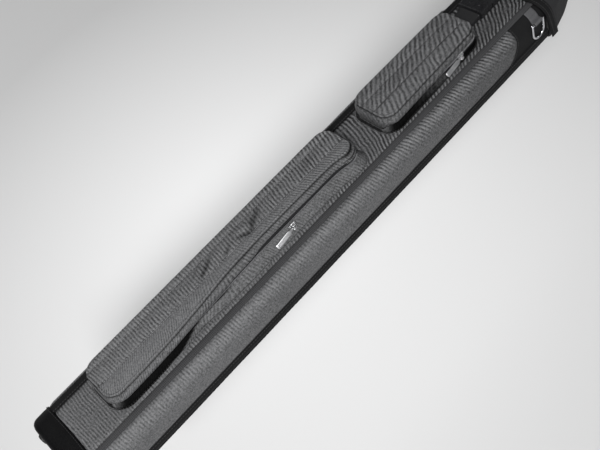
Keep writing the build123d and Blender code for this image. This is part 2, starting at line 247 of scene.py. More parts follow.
def stitches(name, path, up, body, mat, pitch=3.6, length=2.5, r=0.32, lift=0.1):
    """Row of sewn stitches on a path: each a small rounded thread that dips in at both ends."""
    p = np.asarray(path, float)
    d = np.r_[0, np.cumsum(np.linalg.norm(np.diff(p, axis=0), axis=1))]
    starts = np.arange(0.4, d[-1] - length, pitch)
    upv = np.asarray(up, float)
    if upv.ndim == 1:
        upv = np.tile(upv, (len(p), 1))
    verts, faces = [], []
    prof = ((0.0, 0.35, -0.45), (0.18, 0.85, 0.0), (0.5, 1.0, 0.25), (0.82, 0.85, 0.0), (1.0, 0.35, -0.45))
    for s0 in starts:
        base = len(verts)
        for f, rr, h in prof:
            q = s0 + f * length
            c = np.array([np.interp(q, d, p[:, k]) for k in range(3)])
            q2 = np.array([np.interp(q + 0.2, d, p[:, k]) for k in range(3)])
            u = np.array([np.interp(q, d, upv[:, k]) for k in range(3)])
            t = q2 - c
            t /= np.linalg.norm(t) + 1e-9
            u /= np.linalg.norm(u) + 1e-9
            w = np.cross(t, u)
            c = c + u * (lift + h * r)
            for k in range(6):
                a = k * TAU / 6
                verts.append(c + (w * math.cos(a) + u * math.sin(a)) * r * rr)
        for i in range(4):
            for k in range(6):
                a, b = base + i * 6 + k, base + i * 6 + (k + 1) % 6
                faces.append((a, b, b + 6, a + 6))
        faces.append(tuple(base + k for k in range(5, -1, -1)))
        faces.append(tuple(base + 24 + k for k in range(6)))
    add_mesh(name, np.array(verts), faces, mat, body, None, sharp=80)


# ---- materials ----

def rgba(c):
    return (*c, 1.0) if isinstance(c, tuple) else c


class Mat:
    """Principled material with short calls for its nodes."""

    def __init__(self, name, rough=0.6, metal=0.0, spec=0.5, sheen=0.0, coat=0.0):
        self.m = bpy.data.materials.new(name)
        self.m.use_nodes = True
        self.nt = self.m.node_tree
        self.bsdf = next(n for n in self.nt.nodes if n.type == "BSDF_PRINCIPLED")
        self.bsdf.inputs["Roughness"].default_value = rough
        self.bsdf.inputs["Metallic"].default_value = metal
        self.bsdf.inputs["Specular IOR Level"].default_value = spec
        self.bsdf.inputs["Sheen Weight"].default_value = sheen
        self.bsdf.inputs["Coat Weight"].default_value = coat

    def put(self, node, i, v):
        if isinstance(v, (int, float, tuple)):
            node.inputs[i].default_value = v
        else:
            self.nt.links.new(v, node.inputs[i])

    def math(self, op, a, b=0.0, c=0.0):
        n = self.nt.nodes.new("ShaderNodeMath")
        n.operation = op
        for i, v in enumerate((a, b, c)):
            self.put(n, i, v)
        return n.outputs[0]

    def attr(self, name):
        n = self.nt.nodes.new("ShaderNodeAttribute")
        n.attribute_name = name
        return n.outputs["Fac"]

    def place(self):
        """Place in the case's own frame, in metres, as x, y, z."""
        t = self.nt.nodes.new("ShaderNodeTexCoord")
        s = self.nt.nodes.new("ShaderNodeSeparateXYZ")
        self.nt.links.new(t.outputs["Object"], s.inputs[0])
        return list(s.outputs)

    def noise(self, scale, detail=3.0, rough=0.55, stretch=None):
        t = self.nt.nodes.new("ShaderNodeTexCoord")
        mp = self.nt.nodes.new("ShaderNodeMapping")
        mp.inputs["Scale"].default_value = stretch or (1, 1, 1)
        self.nt.links.new(t.outputs["Object"], mp.inputs["Vector"])
        n = self.nt.nodes.new("ShaderNodeTexNoise")
        n.inputs["Scale"].default_value = scale
        n.inputs["Detail"].default_value = detail
        n.inputs["Roughness"].default_value = rough
        self.nt.links.new(mp.outputs[0], n.inputs["Vector"])
        return n.outputs[0]

    def wave(self, coord, pitch):
        """0 to 1, once each pitch."""
        return self.math("MULTIPLY_ADD", self.math("SINE", self.math("MULTIPLY", coord, TAU / pitch)), 0.5,
                         0.5)

    def span(self, v, a, b, c, d):
        n = self.nt.nodes.new("ShaderNodeMapRange")
        self.put(n, 0, v)
        for i, q in enumerate((a, b, c, d)):
            n.inputs[i + 1].default_value = q
        return n.outputs[0]

    def mix(self, f, a, b):
        n = self.nt.nodes.new("ShaderNodeMix")
        n.data_type = "RGBA"
        self.put(n, 0, f)
        self.put(n, 6, rgba(a))
        self.put(n, 7, rgba(b))
        return n.outputs[2]

    def color(self, c):
        self.put(self.bsdf, "Base Color", rgba(c))

    def rough(self, v):
        self.put(self.bsdf, "Roughness", v)

    def bump(self, height, dist, strength=1.0):
        n = self.nt.nodes.new("ShaderNodeBump")
        n.inputs["Distance"].default_value = dist
        n.inputs["Strength"].default_value = strength
        self.nt.links.new(height, n.inputs["Height"])
        self.nt.links.new(n.outputs[0], self.bsdf.inputs["Normal"])


def woven(m, cu, cv, pitch):
    """Plain weave: warp and weft threads that pass over and under each other."""
    a = m.math("SINE", m.math("MULTIPLY", cu, TAU / pitch))
    b = m.math("SINE", m.math("MULTIPLY", cv, TAU / pitch))
    return m.math("MULTIPLY_ADD", m.math("MULTIPLY", a, b), 0.5, 0.5)


def ribbed_fabric():
    m = Mat("ribbed_fabric", rough=0.5)
    cu, cv = m.attr("cu"), m.attr("cv")
    rib = m.wave(m.math("MULTIPLY_ADD", m.noise(42, 3), 1.3, m.attr("rib")), 1.0)
    wobble = m.noise(480, 3, 0.7)
    ribs = m.math("MULTIPLY", m.math("MULTIPLY_ADD", rib, 1.0, -0.5), m.attr("amp"))
    ribs = m.math("MULTIPLY", ribs, m.span(m.noise(70, 3), 0.3, 0.7, 0.25, 1.3))
    weave = woven(m, cu, cv, 1.15)
    yarn = m.span(m.noise(900, 2, stretch=(1, 0.35, 0.35)), 0.3, 0.7, -0.5, 0.5)
    tone = m.math("MULTIPLY_ADD", ribs, 0.95, 0.46)
    tone = m.math("MULTIPLY_ADD", m.math("SUBTRACT", weave, 0.5), 0.55, tone)
    tone = m.math("MULTIPLY_ADD", yarn, 0.22, tone)
    tone = m.math("MULTIPLY_ADD", m.math("SUBTRACT", wobble, 0.5), 1.7, tone)
    tone = m.math("MULTIPLY_ADD", m.math("SUBTRACT", m.noise(9, 3), 0.5), 0.25, tone)
    # Painted shade: the cloth gets darker towards the lid end, standing in for light that falls off along the
    # case.
    painted_falloff_to_lid = m.span(m.place()[0], -0.05, 0.30, 0.0, 1.0)
    tone = m.math("MULTIPLY_ADD", painted_falloff_to_lid, -0.21, tone)
    # Attribute lift adds painted light to the tone: a painted highlight on the side panels' crest and a
    # lighter pocket face.
    tone = m.math("ADD", m.attr("lift"), tone)
    cloth = m.mix(tone, (0.006, 0.0062, 0.0066), (0.190, 0.191, 0.196))
    # Attribute dark mixes painted shade into the cloth, down to near black, and takes the gloss away there.
    m.color(m.mix(m.attr("dark"), cloth, (0.0015, 0.0015, 0.0015)))
    m.put(m.bsdf, "Specular IOR Level", m.math("MULTIPLY_ADD", m.attr("dark"), -0.42, 0.42))
    m.bump(m.math("MULTIPLY_ADD", ribs, 1.1, m.math("MULTIPLY", weave, 0.5)), 0.0006, 0.8)
    return m.m


def black_nylon(name, base=0.008, pitch=1.7, contrast=1.0, rough=0.62):
    m = Mat(name, rough=rough, spec=0.06)
    cu, cv = m.attr("cu"), m.attr("cv")
    grid = m.math("MAXIMUM", m.wave(cu, pitch), m.wave(cv, pitch))
    fine = woven(m, cu, cv, 0.6)
    tone = m.math("MULTIPLY_ADD", grid, 0.6 * contrast, m.math("MULTIPLY", fine, 0.25))
    tone = m.math("MULTIPLY_ADD", m.noise(14, 3), 0.3, tone)
    m.color(m.mix(tone, (base * 0.45, base * 0.45, base * 0.47), (base * 1.9, base * 1.9, base * 1.97)))
    m.bump(tone, 0.0004, 0.7)
    return m.m


def webbing_mat(name, dark, light, pitch=2.1, rough=0.6):
    m = Mat(name, rough=rough, spec=0.12)
    cu, cv = m.attr("cu"), m.attr("cv")
    slant = m.wave(m.math("ADD", cu, m.math("PINGPONG", cv, pitch * 1.5)), pitch * 0.6)
    ridge = m.wave(cv, pitch)
    tone = m.math("MULTIPLY_ADD", slant, 0.35, m.math("MULTIPLY", ridge, 0.45))
    tone = m.math("MULTIPLY_ADD", m.noise(30, 3), 0.25, tone)
    m.color(m.mix(tone, dark, light))
    m.bump(tone, 0.0004, 0.8)
    return m.m


def leather():
    m = Mat("boot_leather", rough=0.44, spec=0.07)
    n = m.nt.nodes.new("ShaderNodeTexVoronoi")
    n.feature = "DISTANCE_TO_EDGE"
    n.inputs["Scale"].default_value = 620
    t = m.nt.nodes.new("ShaderNodeTexCoord")
    m.nt.links.new(t.outputs["Object"], n.inputs["Vector"])
    grain = m.math("MINIMUM", m.math("MULTIPLY", n.outputs["Distance"], 3.2), 1.0)
    soft = m.noise(35, 4)
    m.color(m.mix(soft, (0.002, 0.002, 0.0022), (0.0055, 0.0055, 0.006)))
    m.rough(m.span(m.noise(22, 3), 0.3, 0.7, 0.38, 0.55))
    m.bump(m.math("MULTIPLY_ADD", soft, 0.5, grain), 0.00022, 0.6)
    return m.m


def plain(name, dark, light, rough=(0.4, 0.6), metal=0.0, scale=60, dist=0.0001, coat=0.0, spec=0.5,
          stretch=None):
    """Moulded, extruded, brushed or plated stuff: two near tones, uneven gloss and a fine surface."""
    m = Mat(name, metal=metal, coat=coat, spec=spec)
    n = m.noise(scale, 4, stretch=stretch)
    m.color(m.mix(m.span(n, 0.3, 0.7, 0, 1), dark, light))
    m.rough(m.span(m.noise(scale * 2.3, 3, stretch=stretch), 0.3, 0.7, *rough))
    m.bump(m.noise(scale * 9, 2, stretch=stretch), dist, 0.5)
    return m.m


RIBBED = ribbed_fabric()
NYLON = black_nylon("black_nylon")
TAPE = black_nylon("binding_tape", 0.006, 1.5, 1.3)
# A lighter copy of the binding tape for the near seam: painted light.
LIT_RIM_TAPE = black_nylon("lit_ribbed_tape", 0.028, 1.9, 1.8)
CORD = black_nylon("piping_cloth", 0.0075, 1.4, 1.3)
LID_CLOTH = black_nylon("lid_nylon", 0.019, 1.5, 0.8)
WORN_STRAP = webbing_mat("worn_webbing", (0.005, 0.005, 0.0055), (0.030, 0.030, 0.031), 2.1)
ZIPTAPE = webbing_mat("zip_tape", (0.006, 0.006, 0.007), (0.022, 0.022, 0.023), 1.2)
STRAP = webbing_mat("black_webbing", (0.003, 0.003, 0.0035), (0.020, 0.020, 0.021), 2.1)
SATIN = webbing_mat("grey_webbing", (0.035, 0.035, 0.037), (0.14, 0.14, 0.145), 1.1, 0.5)
LEATHER = leather()
LINING = black_nylon("lining_cloth", 0.020, 0.8, 0.4, 0.8)
THREAD_L = plain("thread_light", (0.16, 0.16, 0.165), (0.26, 0.26, 0.265), (0.5, 0.7), scale=900)
THREAD_D = plain("thread_dark", (0.012, 0.012, 0.012), (0.03, 0.03, 0.03), (0.5, 0.7), scale=900)
CHROME = plain("zip_metal", (0.62, 0.62, 0.635), (0.76, 0.76, 0.77), (0.34, 0.44), 1.0, 120, 0.00001)
STEEL = plain("ring_steel", (0.50, 0.50, 0.52), (0.74, 0.74, 0.76), (0.14, 0.32), 1.0, 90, 0.00004)
COIL = plain("zip_coil", (0.10, 0.10, 0.105), (0.22, 0.22, 0.225), (0.3, 0.45), scale=500)
PLASTIC = plain("buckle_plastic", (0.007, 0.007, 0.008), (0.014, 0.014, 0.015), (0.22, 0.4), 0.0, 160,
                0.00005, 0.15)
RUBBER = plain("stud_rubber", (0.012, 0.012, 0.012), (0.028, 0.028, 0.028), (0.6, 0.8), scale=400,
               dist=0.0002)
FOAM = plain("foam", (0.035, 0.035, 0.038), (0.075, 0.075, 0.08), (0.8, 0.95), scale=900, dist=0.0005)
TUBE = plain("tube_plastic", (0.03, 0.03, 0.033), (0.05, 0.05, 0.055), (0.35, 0.5), scale=80,
             stretch=(0.1, 1, 1))
BOARD = plain("core_board", (0.03, 0.03, 0.03), (0.06, 0.06, 0.06), (0.7, 0.85), scale=700, dist=0.0002)


def keep(name, mat):
    """Keeps a CAD node's own mesh and gives it a material."""
    ob = nodes[name]
    for k in range(max(1, len(ob.material_slots))):
        if ob.material_slots:
            ob.material_slots[k].material = mat
        else:
            ob.data.materials.append(mat)


# ---- cloth ribs ----

X_FROM, X_SPAN = -405.0, 755.0


def rib_run(x, f0, f1):
    """Turns of rib from the boot to x, where the ribs get wider along the case."""
    q = np.asarray(x, float) - X_FROM
    return f0 * q + (f1 - f0) * q * q / (2 * X_SPAN)


def lean(x, g0, g1):
    return g0 + (g1 - g0) * np.clip((np.asarray(x, float) - X_FROM) / X_SPAN, 0, 1)


# ---- body panels ----

def front_panel():
    x = np.linspace(X_BOOT - 3, X_END, 620)
    y = np.linspace(-40, 40, 90)
    gx, gy = np.meshgrid(x, y, indexing="ij")
    near = smooth(0, 9, 38 - np.abs(gy))
    z = Z_FRONT - 1.0 + 1.1 * near + ripple(gx, gy, 0.28, 90, 3) * near
    z -= 0.8 * bell(np.abs(gy), 38, 1.2)
    z += 0.8 * bell(gy, -33, 4) * smooth(-405, -380, gx)
    ends = smooth(0, 10, gx - X_BOOT)
    z -= 0.8 * (1 - ends)
    outer = np.stack([gx, gy, np.minimum(z, Z_FRONT + 0.4)], -1)
    inner = np.stack([gx, gy, np.full_like(z, Z_FRONT - 2.4)], -1)
    turn = gy - gy * gy / 120
    phase = rib_run(gx, 0.286, 0.135) - lean(gx, -0.01, 0.115) * turn
    amp = 0.55 + 0.45 * smooth(-200, 150, gx)
    # Painted shade in the groove along the seams with the bindings.
    dark = 0.85 * bell(np.abs(gy), 38.6, 1.5)
    at = {"cu": gx, "cv": gy, "rib": phase, "amp": amp, "dark": dark}
    ob = slab("front_panel_cloth", outer, inner, RIBBED, "case", at, "front_panel",
              flip=True)


def side_outline(s):
    """Where the padded side panel ends at arc length s: straight down, then rounded back at the foot."""
    f = np.clip((s - (S_LOW - 34)) / 34, 0, 1)
    return X_SIDE_END + 2 - 15 * f ** 1.8 - 9 * np.clip((f - 0.7) / 0.3, 0, 1) ** 2.4


def side_panel(side, label):
    top = S_TOP[side]
    s = np.linspace(top, S_LOW, 76)
    u = np.linspace(0, 1, 600)
    gu, gs = np.meshgrid(u, s, indexing="ij")
    x0 = X_BOOT - 3
    gx = x0 + gu * (side_outline(gs) - x0)
    t = (gs - top) / (S_LOW - top)
    edge = np.minimum(smooth(0, 0.16, t), smooth(0, 0.13, 1 - t))
    end = smooth(0, 9, side_outline(gs) - gx) * smooth(-6, 7, gx - X_BOOT)
    puff = -1.3 + 2.1 * edge * end + 0.55 * bell(gs, 57, 10) * end
    wave = ripple(gx, gs, 0.35, 130, 20 + side) + 0.5 * ripple(gx, gs, 0.22, 42, 40 + side)
    drape = 0.8 * smooth(150, 260, gx) * np.sin((gx - 180 + gs * 0.9) / 15.0) * bell(gs, 84, 15)
    puff += (wave + 0.55 * drape) * edge * end
    q = gs - 46
    phase = rib_run(gx, 0.27, 0.185) - lean(gx, 0.0, 0.10) * (q + q * q / 60)
    amp = 0.06 + (0.45 + 0.4 * smooth(-100, 200, gx)) * bell(gs, 51, 12)
    # Painted shade where the panel runs under its bindings and under the collar at its end; lift is a painted
    # highlight along the lit crest.
    dark = 0.6 * (1 - smooth(0, 0.06, t)) + 0.6 * (1 - smooth(0, 0.05, 1 - t))
    dark = np.clip(dark + 0.6 * (1 - smooth(0, 3, side_outline(gs) - gx)), 0, 1)
    at = {"rib": phase, "amp": amp, "dark": dark, "lift": 0.16 * bell(gs, 53, 8)}
    name = f"side_panel_{label}"
    ob = section_slab(name + "_cloth", gx, gs, side, puff, -2.7, RIBBED, at, name)
    path_s = np.linspace(top + 2.5, S_LOW - 1, 60)
    y, z = sec(path_s, side, -0.75)
    yn, zn = sec(path_s, side, 1.0)
    y0, z0 = sec(path_s, side, 0.0)
    line = np.stack([side_outline(path_s) + 1.6, y, z], 1)
    ups = np.stack([0 * yn, yn - y0, zn - z0], 1)
    stitches(f"side_end_stitches_{label}", line, ups, "case", THREAD_D, pitch=3.2,
             length=2.2)


def collar(side, label):
    s = np.linspace(44.0, S_LOW + 0.5, 60)
    x = np.linspace(X_SIDE_END - 14, X_END, 60)
    gx, gs = np.meshgrid(x, s, indexing="ij")
    out = -1.35 + ripple(gx, gs, 0.18, 45, 60 + side) - 0.5 * bell(gx, side_outline(gs) + 1, 2.0)
    name = f"collar_{label}"
    section_slab(name + "_cloth", gx, gs, side, out, -2.75, NYLON, None, name)


def binding(side, label):
    wide = S_TOP[side] + 1.6 - S_BIND
    s = np.linspace(S_BIND, S_BIND + wide, 18)
    x = np.linspace(X_BOOT - 1, X_END - 0.2, 380)
    gx, gs = np.meshgrid(x, s, indexing="ij")
    t = (gs - S_BIND) / wide
    out = -0.15 + 0.55 * np.sin(math.pi * t) ** 0.5 + ripple(gx, gs, 0.08, 30, 70 + side)
    name = f"seam_binding_{label}"
    # The near binding takes the lighter copy of the tape, painted light; the far one stays dark and runs
    # wider over the far crest as painted shade.
    tape = LIT_RIM_TAPE if side < 0 else TAPE
    section_slab(name + "_tape", gx, gs, side, out, -0.9, tape, None, name)
    for k, row in enumerate((S_BIND + 1.6, S_BIND + wide - 1.6)):
        y, z = sec(np.full_like(x, row), side, 0.34)
        line = np.stack([x, y, z], 1)
        stitches(f"binding_stitches_{label}_{k}", line, (0, side * 0.25, 1), "case", THREAD_D)


def lower_tape(side, label):
    """Wide bound edge between the side and the back, folded round the corner."""
    s = np.linspace(S_LOW - 1.2, S_PIPE - 1.0, 22)
    x = np.linspace(X_BOOT - 1, X_END, 380)
    gx, gs = np.meshgrid(x, s, indexing="ij")
    t = (gs - s[0]) / (s[-1] - s[0])
    out = -0.5 + 1.15 * np.sin(math.pi * np.clip(t, 0, 1)) ** 0.45 + ripple(gx, gs, 0.10, 45, 90 + side)
    section_slab(f"lower_binding_{label}_tape", gx, gs, side, out, -1.6, TAPE)
    row = np.full_like(x, S_LOW + 0.8)
    y, z = sec(row, side, 0.32)
    yn, zn = sec(row, side, 1.32)
    line = np.stack([x, y, z], 1)
    ups = np.stack([0 * x, yn - y, zn - z], 1)
    stitches(f"lower_binding_stitches_{label}", line, ups, "case", THREAD_D)


def piping(side, label):
    x = np.linspace(X_BOOT - 1, X_END, 420)
    yc, zc = sec(np.full_like(x, S_PIPE), side, 0.3)
    wob = ripple(x, 0 * x, 0.12, 60, 80 + side)
    path = np.stack([x, yc + side * wob, zc], 1)
    radius = 2.1 + 0.06 * np.sin(x / 1.1)
    name = f"back_piping_{label}"
    sweep(name + "_cord", path, radius, CORD, "case", name, seg=14)
    for k, (off_a, off_b, out) in enumerate(((-5.2, -1.4, -0.2), (1.4, 5.0, -0.4))):
        s = np.linspace(S_PIPE + off_a, S_PIPE + off_b, 8)
        gx, gs = np.meshgrid(x, s, indexing="ij")
        section_slab(f"piping_flange_{label}_{k}", gx, gs, side, out, out - 1.0, TAPE)


def back_panel():
    y = np.linspace(-49, 49, 70)
    x = np.linspace(X_BOOT - 3, X_END, 240)
    gx, gy = np.meshgrid(x, y, indexing="ij")
    lift = np.maximum(np.abs(gy) - 46, 0) ** 2 / 24
    waves = 0.25 * (1 + np.sin(gx / 37) * np.sin(gy / 19)) * 0.5
    z = 0.15 + 0.5 * (1 - smooth(0, 6, 49 - np.abs(gy))) + lift + waves
    outer = np.stack([gx, gy, z], -1)
    inner = np.stack([gx, gy, z + 2.0], -1)
    slab("back_panel_cloth", outer, inner, NYLON, "case", {"cu": gx, "cv": gy}, "back_panel")


def boot_loop(x, n, grow, z0, rf, rb):
    """One loop of the boot at x, with a mouth that curves back at both sides."""
    loop = loop_section(n + 1, HALF_W + grow, z0, Z_FRONT + grow, rf, rb)[0][:-1]
    curve = BOOT_CURVE * (loop[:, 0] / HALF_W) ** 2 * smooth(X_SOLE + 5, X_BOOT, x)
    return np.stack([x - curve, loop[:, 0], loop[:, 1]], 1)


def boot():
    """Leathercloth boot: a welted edge over the panels and a rounded sole."""
    n = 260
    # Loops from the mouth to the sole: (distance from the mouth or the sole, growth of the section).
    welt = ((1.2, -0.2), (0.6, 0.9), (-0.6, 1.25), (-2.2, 1.15), (-3.0, 0.7), (-3.8, 0.85), (-7, 1.0))
    sole = ((9, 0.8), (6.5, 0.3), (4.2, -0.8), (2.4, -2.5), (1.1, -5.0), (0.5, -8.0), (0.35, -14), (0.5, -20),
            (0.6, -26.5))
    rows = [(X_BOOT + dx, grow) for dx, grow in welt] + [(X_SOLE + dx, grow) for dx, grow in sole]
    verts = []
    for x, grow in rows:
        rf, rb = max(R_F + grow, 2.5), max(R_B + grow, 2.0)
        verts.append(boot_loop(x, n, grow, 0.05 - min(grow, 0.0), rf, rb))
    verts = np.vstack(verts)
    faces = list(quads(len(rows), n, wrap=True, flip=True))
    faces.append(tuple(range((len(rows) - 1) * n, len(rows) * n)))
    inner = []
    for x, grow in ((X_BOOT + 1.0, -2.6), (X_SOLE + 5, -3.2), (X_SOLE + 3.6, -6)):
        inner.append(boot_loop(x, n, grow, 0.05 - grow, R_F + grow, max(R_B + grow, 2)))
    off = len(verts)
    verts = np.vstack([verts, *inner])
    faces += list(quads(3, n, off, wrap=True))
    faces.append(tuple(range(off + 3 * n - 1, off + 2 * n - 1, -1)))
    a, b = np.arange(n), off + np.arange(n)
    faces += list(strip(a, b))
    add_mesh("base_boot_leather", verts, faces, LEATHER, "case", None, "base_boot", sharp=60)
    loop = loop_section(300, HALF_W + 1.15, 0.05, Z_FRONT + 1.15, R_F, R_B)[0]
    m = loop[loop[:, 1] > 3]
    m = m[np.argsort(np.arctan2(m[:, 0], m[:, 1] - 5))]
    line = np.stack([X_BOOT - 1.3 - BOOT_CURVE * (m[:, 0] / HALF_W) ** 2, m[:, 0], m[:, 1]], 1)
    ups = np.stack([0 * m[:, 2], m[:, 2], m[:, 3]], 1)
    stitches("boot_stitches", line, ups, "case", THREAD_D, pitch=3.4)


def studs():
    """Four domed feet in the corners of the CAD studs' box."""
    low, high = box_mm("base_studs")
    half, seg = 7.0, 32
    verts, faces = [], []
    # Radius, and distance from the foot's outer end.
    prof = [(half, 2.5), (half, 1.6), (half - 0.5, 0.7), (half - 1.6, 0.15), (half - 3.2, 0.0),
            (half - 4.6, 0.12), (1.0, 0.3)]
    for cy in (low[1] + half, high[1] - half):
        for cz in (low[2] + half, high[2] - half):
            base = len(verts)
            for r, dx in prof:
                for k in range(seg):
                    a = k * TAU / seg
                    verts.append((low[0] + dx, cy + r * math.cos(a), cz + r * math.sin(a)))
            faces += [tuple(f) for f in quads(len(prof), seg, base, wrap=True)]
            faces.append(tuple(base + (len(prof) - 1) * seg + k for k in range(seg)))
            faces.append(tuple(base + k for k in range(seg - 1, -1, -1)))
    add_mesh("base_studs_rubber", np.array(verts), faces, RUBBER, "case", None, "base_studs",
             sharp=40)


front_panel()
for side, label in ((-1, "right"), (1, "left")):
    side_panel(side, label)
    collar(side, label)
    binding(side, label)
    lower_tape(side, label)
    piping(side, label)
back_panel()
boot()
studs()


# ---- pockets ----

Z_RIM, Z_CREST = 84.0, 88.2
RIM_INSET = 3.4

# Profiles of the walls, from the face's rim down: (distance outside the rim, height). The zip runs where a
# face's profile ends and its base's begins.
SHALLOW = [(0, 84.0), (-1.2, 82.4), (0.6, 80.4), (1.9, 78.0), (2.3, 76.0), (1.9, 74.4), (1.0, 73.2)]
SHALLOW_BASE = [(1.0, 72.4), (1.2, 69.8), (0.6, 66.6), (0.8, 63.4), (2.6, 61.0), (4.0, 60.3)]
UNDERCUT = [(0, 84.0), (-1.6, 82.4), (1.0, 80.6), (2.8, 77.8), (2.9, 74.8), (1.2, 72.2), (-1.4, 70.9)]
SLOPED = [(0, 84.0), (-1.5, 82.3), (1.6, 80.6), (3.0, 78.2), (3.7, 76.0), (4.3, 74.2), (4.7, 73.0)]
FAR = [(0, 84.0), (-0.9, 82.3), (1.4, 79.0), (2.6, 74.0), (2.2, 68.8), (1.4, 65.4), (0.2, 62.9)]
UNDERCUT_BASE = [(-6.2, 70.0), (-6.6, 67.5), (-5.4, 64.2), (-1.2, 61.6), (2.8, 60.8), (4.4, 60.3)]
SLOPED_BASE = [(4.8, 72.3), (7.2, 69.8), (10.2, 66.6), (13.0, 63.4), (15.2, 61.0), (16.6, 60.3)]
FAR_BASE = [(0.6, 61.0), (1.2, 60.9), (2.6, 60.8), (4.4, 60.7), (5.8, 60.6), (6.6, 60.2)]

LONG = dict(name="long", x0=-352.6, x1=44.2, far=32.8, r=19.0, turn=(-245, -150), rows=(22.0, -0.8),
            fall=0.3, thread=True, slider_x=-76.0, open=(SLOPED, SLOPED_BASE),
            near=((-353, -29), (-300, -28.5), (-262, -27), (-215, -23), (-165, -17.2), (-120, -15.6),
                  (-20, -15.6), (5, -16.2), (16, -17.5), (27, -20.6), (36, -20.8), (45, -19)))
SHORT = dict(name="short", x0=89.6, x1=263.0, far=32.8, r=18.0, turn=(165, 210), rows=(14.0, -5.0),
             fall=0.3, thread=False, slider_x=222.0, open=(SHALLOW, SHALLOW_BASE),
             near=((89, -31), (110, -30.4), (170, -29.0), (225, -27.2), (245, -26.2), (264, -25)))


def pocket_plan(p, n_long, n_across):
    """Grid over the pocket's face, near edge first, with its rounded corners."""
    r = p["r"]
    end = r * (1 - np.cos(np.linspace(0, math.pi / 2, 22)))
    mid = np.linspace(p["x0"] + r, p["x1"] - r, n_long)[1:-1]
    x = np.r_[p["x0"] + end, mid, (p["x1"] - end)[::-1]]
    nx, ny = np.array(p["near"]).T
    fine = np.linspace(p["x0"] - 5, p["x1"] + 5, 400)
    curve = np.convolve(np.pad(np.interp(fine, nx, ny), 14, mode="edge"), soft_kernel(29), "valid")
    near = np.interp(x, fine, curve)
    e = np.minimum(x - p["x0"], p["x1"] - x)
    drop = 1 - np.sqrt(np.clip(1 - (1 - np.clip(e / r, 0, 1)) ** 2, 0, 1))
    y0 = near + drop * r * np.abs(near) / 28.0
    y1 = p["far"] - drop * (r - 2)
    v = np.linspace(0, 1, n_across)
    gx = np.repeat(x[:, None], n_across, 1)
    gy = y0[:, None] + (y1 - y0)[:, None] * v[None, :]
    return gx, gy


def loop_normals(x, y):
    """Outward normals of a closed loop, softened round its corners."""
    tx = np.roll(x, -1) - np.roll(x, 1)
    ty = np.roll(y, -1) - np.roll(y, 1)
    d = np.hypot(tx, ty)
    nx, ny = ty / d, -tx / d
    nx, ny = (np.convolve(np.r_[a[-3:], a, a[:3]], soft_kernel(7), "valid") for a in (nx, ny))
    d = np.hypot(nx, ny)
    return nx / d, ny / d


def wall(p, x, y, near_a, near_b, far, levels):
    """Wall loops below the rim, as (levels, points, 3), with each point's depth down the cloth."""
    nx, ny = loop_normals(x, y)
    a = spline(near_a, levels)
    b = spline(near_b, levels)
    c = spline(far, levels)
    wn = smooth(0.12, 0.9, -ny)[None, :, None]
    wb = smooth(*p["turn"], x)[None, :, None]
    prof = c[:, None] * (1 - wn) + wn * (a[:, None] * (1 - wb) + b[:, None] * wb)
    d, z = prof[..., 0], prof[..., 1]
    arc = np.vstack([0 * x, np.cumsum(np.hypot(np.diff(d, axis=0), np.diff(z, axis=0)), axis=0)])
    pts = np.stack([x + nx * d, y + ny * d, z], -1)
    return pts, arc, nx, ny


def face_height(p, gx, gy):
    """Crowned face with sewn rows, dents and slack near the middle, as height over the rim."""
    rows = p["rows"]
    y0 = gy[:, :1]
    y1 = gy[:, -1:]
    h = np.zeros_like(gx)
    marks = [y1 - 0 * gx, np.full_like(gx, rows[0]), np.full_like(gx, rows[1]), y0 + 0 * gx]
    for k, amp in enumerate((1.9, 1.5, 1.4)):
        top, bottom = marks[k], marks[k + 1]
        t = np.clip((gy - bottom) / np.maximum(top - bottom, 0.5), 0, 1)
        h += amp * np.sin(math.pi * t) ** 0.75
    end = np.minimum(gx - p["x0"], p["x1"] - gx)
    h *= smooth(0, 12, end)
    for row in rows:
        inside = smooth(0, 6, end - 4)
        h -= 0.75 * np.exp(-((gy - row) / 1.0) ** 2) * inside
    beyond = np.clip((gy - rows[0]) / (p["far"] - rows[0]), 0, 1)
    h -= p["fall"] * beyond ** 1.8 * smooth(-2, 16, end)
    edge = np.minimum(np.minimum(gy - y0, y1 - gy), end)
    h += 0.9 * bell(edge, 2.2, 1.5) - 1.0 * (1 - smooth(0, 1.4, edge))
    h += ripple(gx, gy, 0.32, 60, 100 + len(p["name"])) * smooth(0, 8, edge)
    return h


# Puckers: centre x and y, half length, half width, depth and tilt.
DENTS = {
    "long": ((-178, 10.5, 14, 2.8, 1.5, 0.48), (-190, 15, 9, 2.2, 0.6, 0.5), (-146, 6, 8, 2.6, 1.0, 0.5),
             (-118, 3.5, 11, 3.0, 1.6, -0.35), (-103, 9, 12, 3.6, 1.7, 0.7), (-90, 15, 8, 3.0, 0.9, 0.8),
             (-8, 12, 16, 6, 0.5, 0.3)),
    "short": ((217, 22, 15, 4.0, 0.9, 0.15), (104, 24, 8, 6, 0.8, 0.8), (246, 20, 8, 8, 0.9, -0.6),
              (150, 5, 22, 4, 0.5, 0.2)),
}


def dents(p, gx, gy):
    """Slanting puckers where the cloth is slack between its rows; the long pocket's have a second fold."""
    h = np.zeros_like(gx)
    for cx, cy, ax, ay, deep, tilt in DENTS[p["name"]]:
        dx, dy = gx - cx, gy - cy
        u = dx * math.cos(tilt) + dy * math.sin(tilt)
        w = -dx * math.sin(tilt) + dy * math.cos(tilt)
        along = -(u / ax) ** 2
        trough = deep * np.exp(along - (w / ay) ** 2)
        if p["name"] == "long":
            h -= 1.7 * trough - 0.8 * deep * np.exp(along - ((w - 2.2 * ay) / ay) ** 2)
        else:
            h -= trough
    return h


